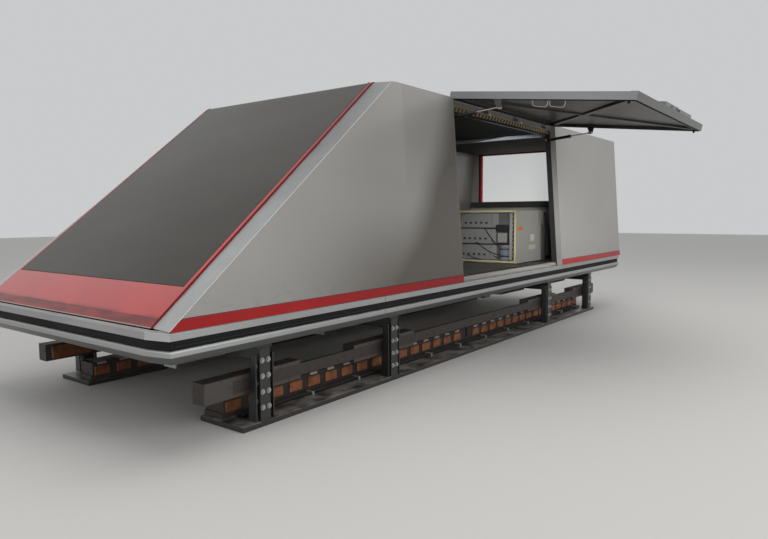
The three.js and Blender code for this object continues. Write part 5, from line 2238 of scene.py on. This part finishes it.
@dataclass
class Studio:
    """The camera at the photograph's view, soft light and a plain pale floor."""

    place: tuple[float, float, float] = (4.481, 3.272, 0.666)
    yaw: float = 217.22
    pitch: float = 5.0
    roll: float = 0.30
    lens: float = 29.70
    world: float = 0.60
    lamps: tuple[tuple[str, Point, Point, Point, float], ...] = (
        ("overhead", (0.5, 1.5, 6.5), (0.5, 0.3, 0.0), (9.0, 5.0), 200.0),
        ("left_fill", (1.5, 8.0, 3.2), (0.0, 0.5, 0.6), (9.0, 4.0), 228.0),
        ("front_fill", (8.5, -0.5, 3.0), (1.5, 0.0, 0.6), (5.0, 4.0), 60.0),
        ("rear_fill", (-8.5, 7.0, 2.2), (-1.5, 0.9, 0.6), (4.0, 3.0), 20.0),
        ("doorway_fill", (3.3, 3.1, 1.1), (-2.0, 0.35, 0.45), (0.5, 0.5), 6.0),
        ("cabin_fill", (-1.2, 0.0, 1.36), (-1.5, 0.1, 0.2), (1.2, 0.9), 2.5),
    )

    def build(self) -> None:
        """Sets the studio up."""
        self._camera()
        self._floor()
        self._sky()
        for name, place, target, size, power in self.lamps:
            self._lamp(name, place, target, size, power)
        bpy.context.scene.view_settings.view_transform = "Standard"

    def _camera(self) -> None:
        """Places the camera."""
        yaw, pitch, roll = (math.radians(angle) for angle in (self.yaw, self.pitch, self.roll))
        ahead = Vector((math.cos(yaw) * math.cos(pitch), math.sin(yaw) * math.cos(pitch), -math.sin(pitch)))
        right = ahead.cross(Vector((0, 0, 1))).normalized()
        down = ahead.cross(right)
        turned_right = right * math.cos(roll) + down * math.sin(roll)
        turned_down = down * math.cos(roll) - right * math.sin(roll)
        data = bpy.data.cameras.new("photo_view")
        data.sensor_width = 36.0
        data.lens = self.lens
        camera = bpy.data.objects.new("photo_view", data)
        axes = Matrix((turned_right, -turned_down, -ahead)).transposed()
        camera.matrix_world = Matrix.Translation(self.place) @ axes.to_4x4()
        bpy.context.scene.collection.objects.link(camera)
        bpy.context.scene.camera = camera

    def _floor(self) -> None:
        """Lays the floor that the car stands on."""
        mesh = bmesh.new()
        bmesh.ops.create_grid(mesh, x_segments=1, y_segments=1, size=30.0,
                              matrix=Matrix.Translation((0, 0, SHAPE.ground_z)))
        data = bpy.data.meshes.new("studio_floor")
        mesh.to_mesh(data)
        mesh.free()
        floor = bpy.data.objects.new("studio_floor", data)
        data.materials.append(material_of(FLOOR))
        bpy.context.scene.collection.objects.link(floor)
        floor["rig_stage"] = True

    def _sky(self) -> None:
        """Gives the world one even tone."""
        world = bpy.data.worlds.new("studio")
        world.use_nodes = True
        background = world.node_tree.nodes["Background"]
        background.inputs["Color"].default_value = (0.98, 0.99, 1.0, 1.0)
        background.inputs["Strength"].default_value = self.world
        bpy.context.scene.world = world

    @staticmethod
    def _lamp(name: str, place: Point, target: Point, size: Point, power: float) -> None:
        """Hangs a soft rectangular lamp.

        Args:
            name: its name.
            place: where it hangs.
            target: what it points at.
            size: its two sides.
            power: its power in watts.
        """
        data = bpy.data.lights.new(name, "AREA")
        data.shape = "RECTANGLE"
        data.size, data.size_y = size
        data.energy = power
        lamp = bpy.data.objects.new(name, data)
        lamp.location = place
        lamp.rotation_euler = (Vector(target) - Vector(place)).to_track_quat("-Z", "Y").to_euler()
        lamp.visible_camera = False
        lamp.visible_glossy = name not in ("doorway_fill", "rear_fill")
        if name == "doorway_fill":
            data.spread = math.radians(20.0)
        bpy.context.scene.collection.objects.link(lamp)


ASSEMBLIES = (Nose, Walls, RoofAndRear, SkirtBands, Doorways, GullDoors, GasStruts, EquipmentCabinet,
              SeatsAndConsole, Underframe, LevitationGear)


def main() -> None:
    """Builds the dressed car in its studio."""
    logging.basicConfig(level=logging.INFO, format="%(name)s: %(message)s")
    model = Packed()
    Studio().build()
    for assembly in ASSEMBLIES:
        assembly(model).build()


if __name__ == "__main__":
    main()
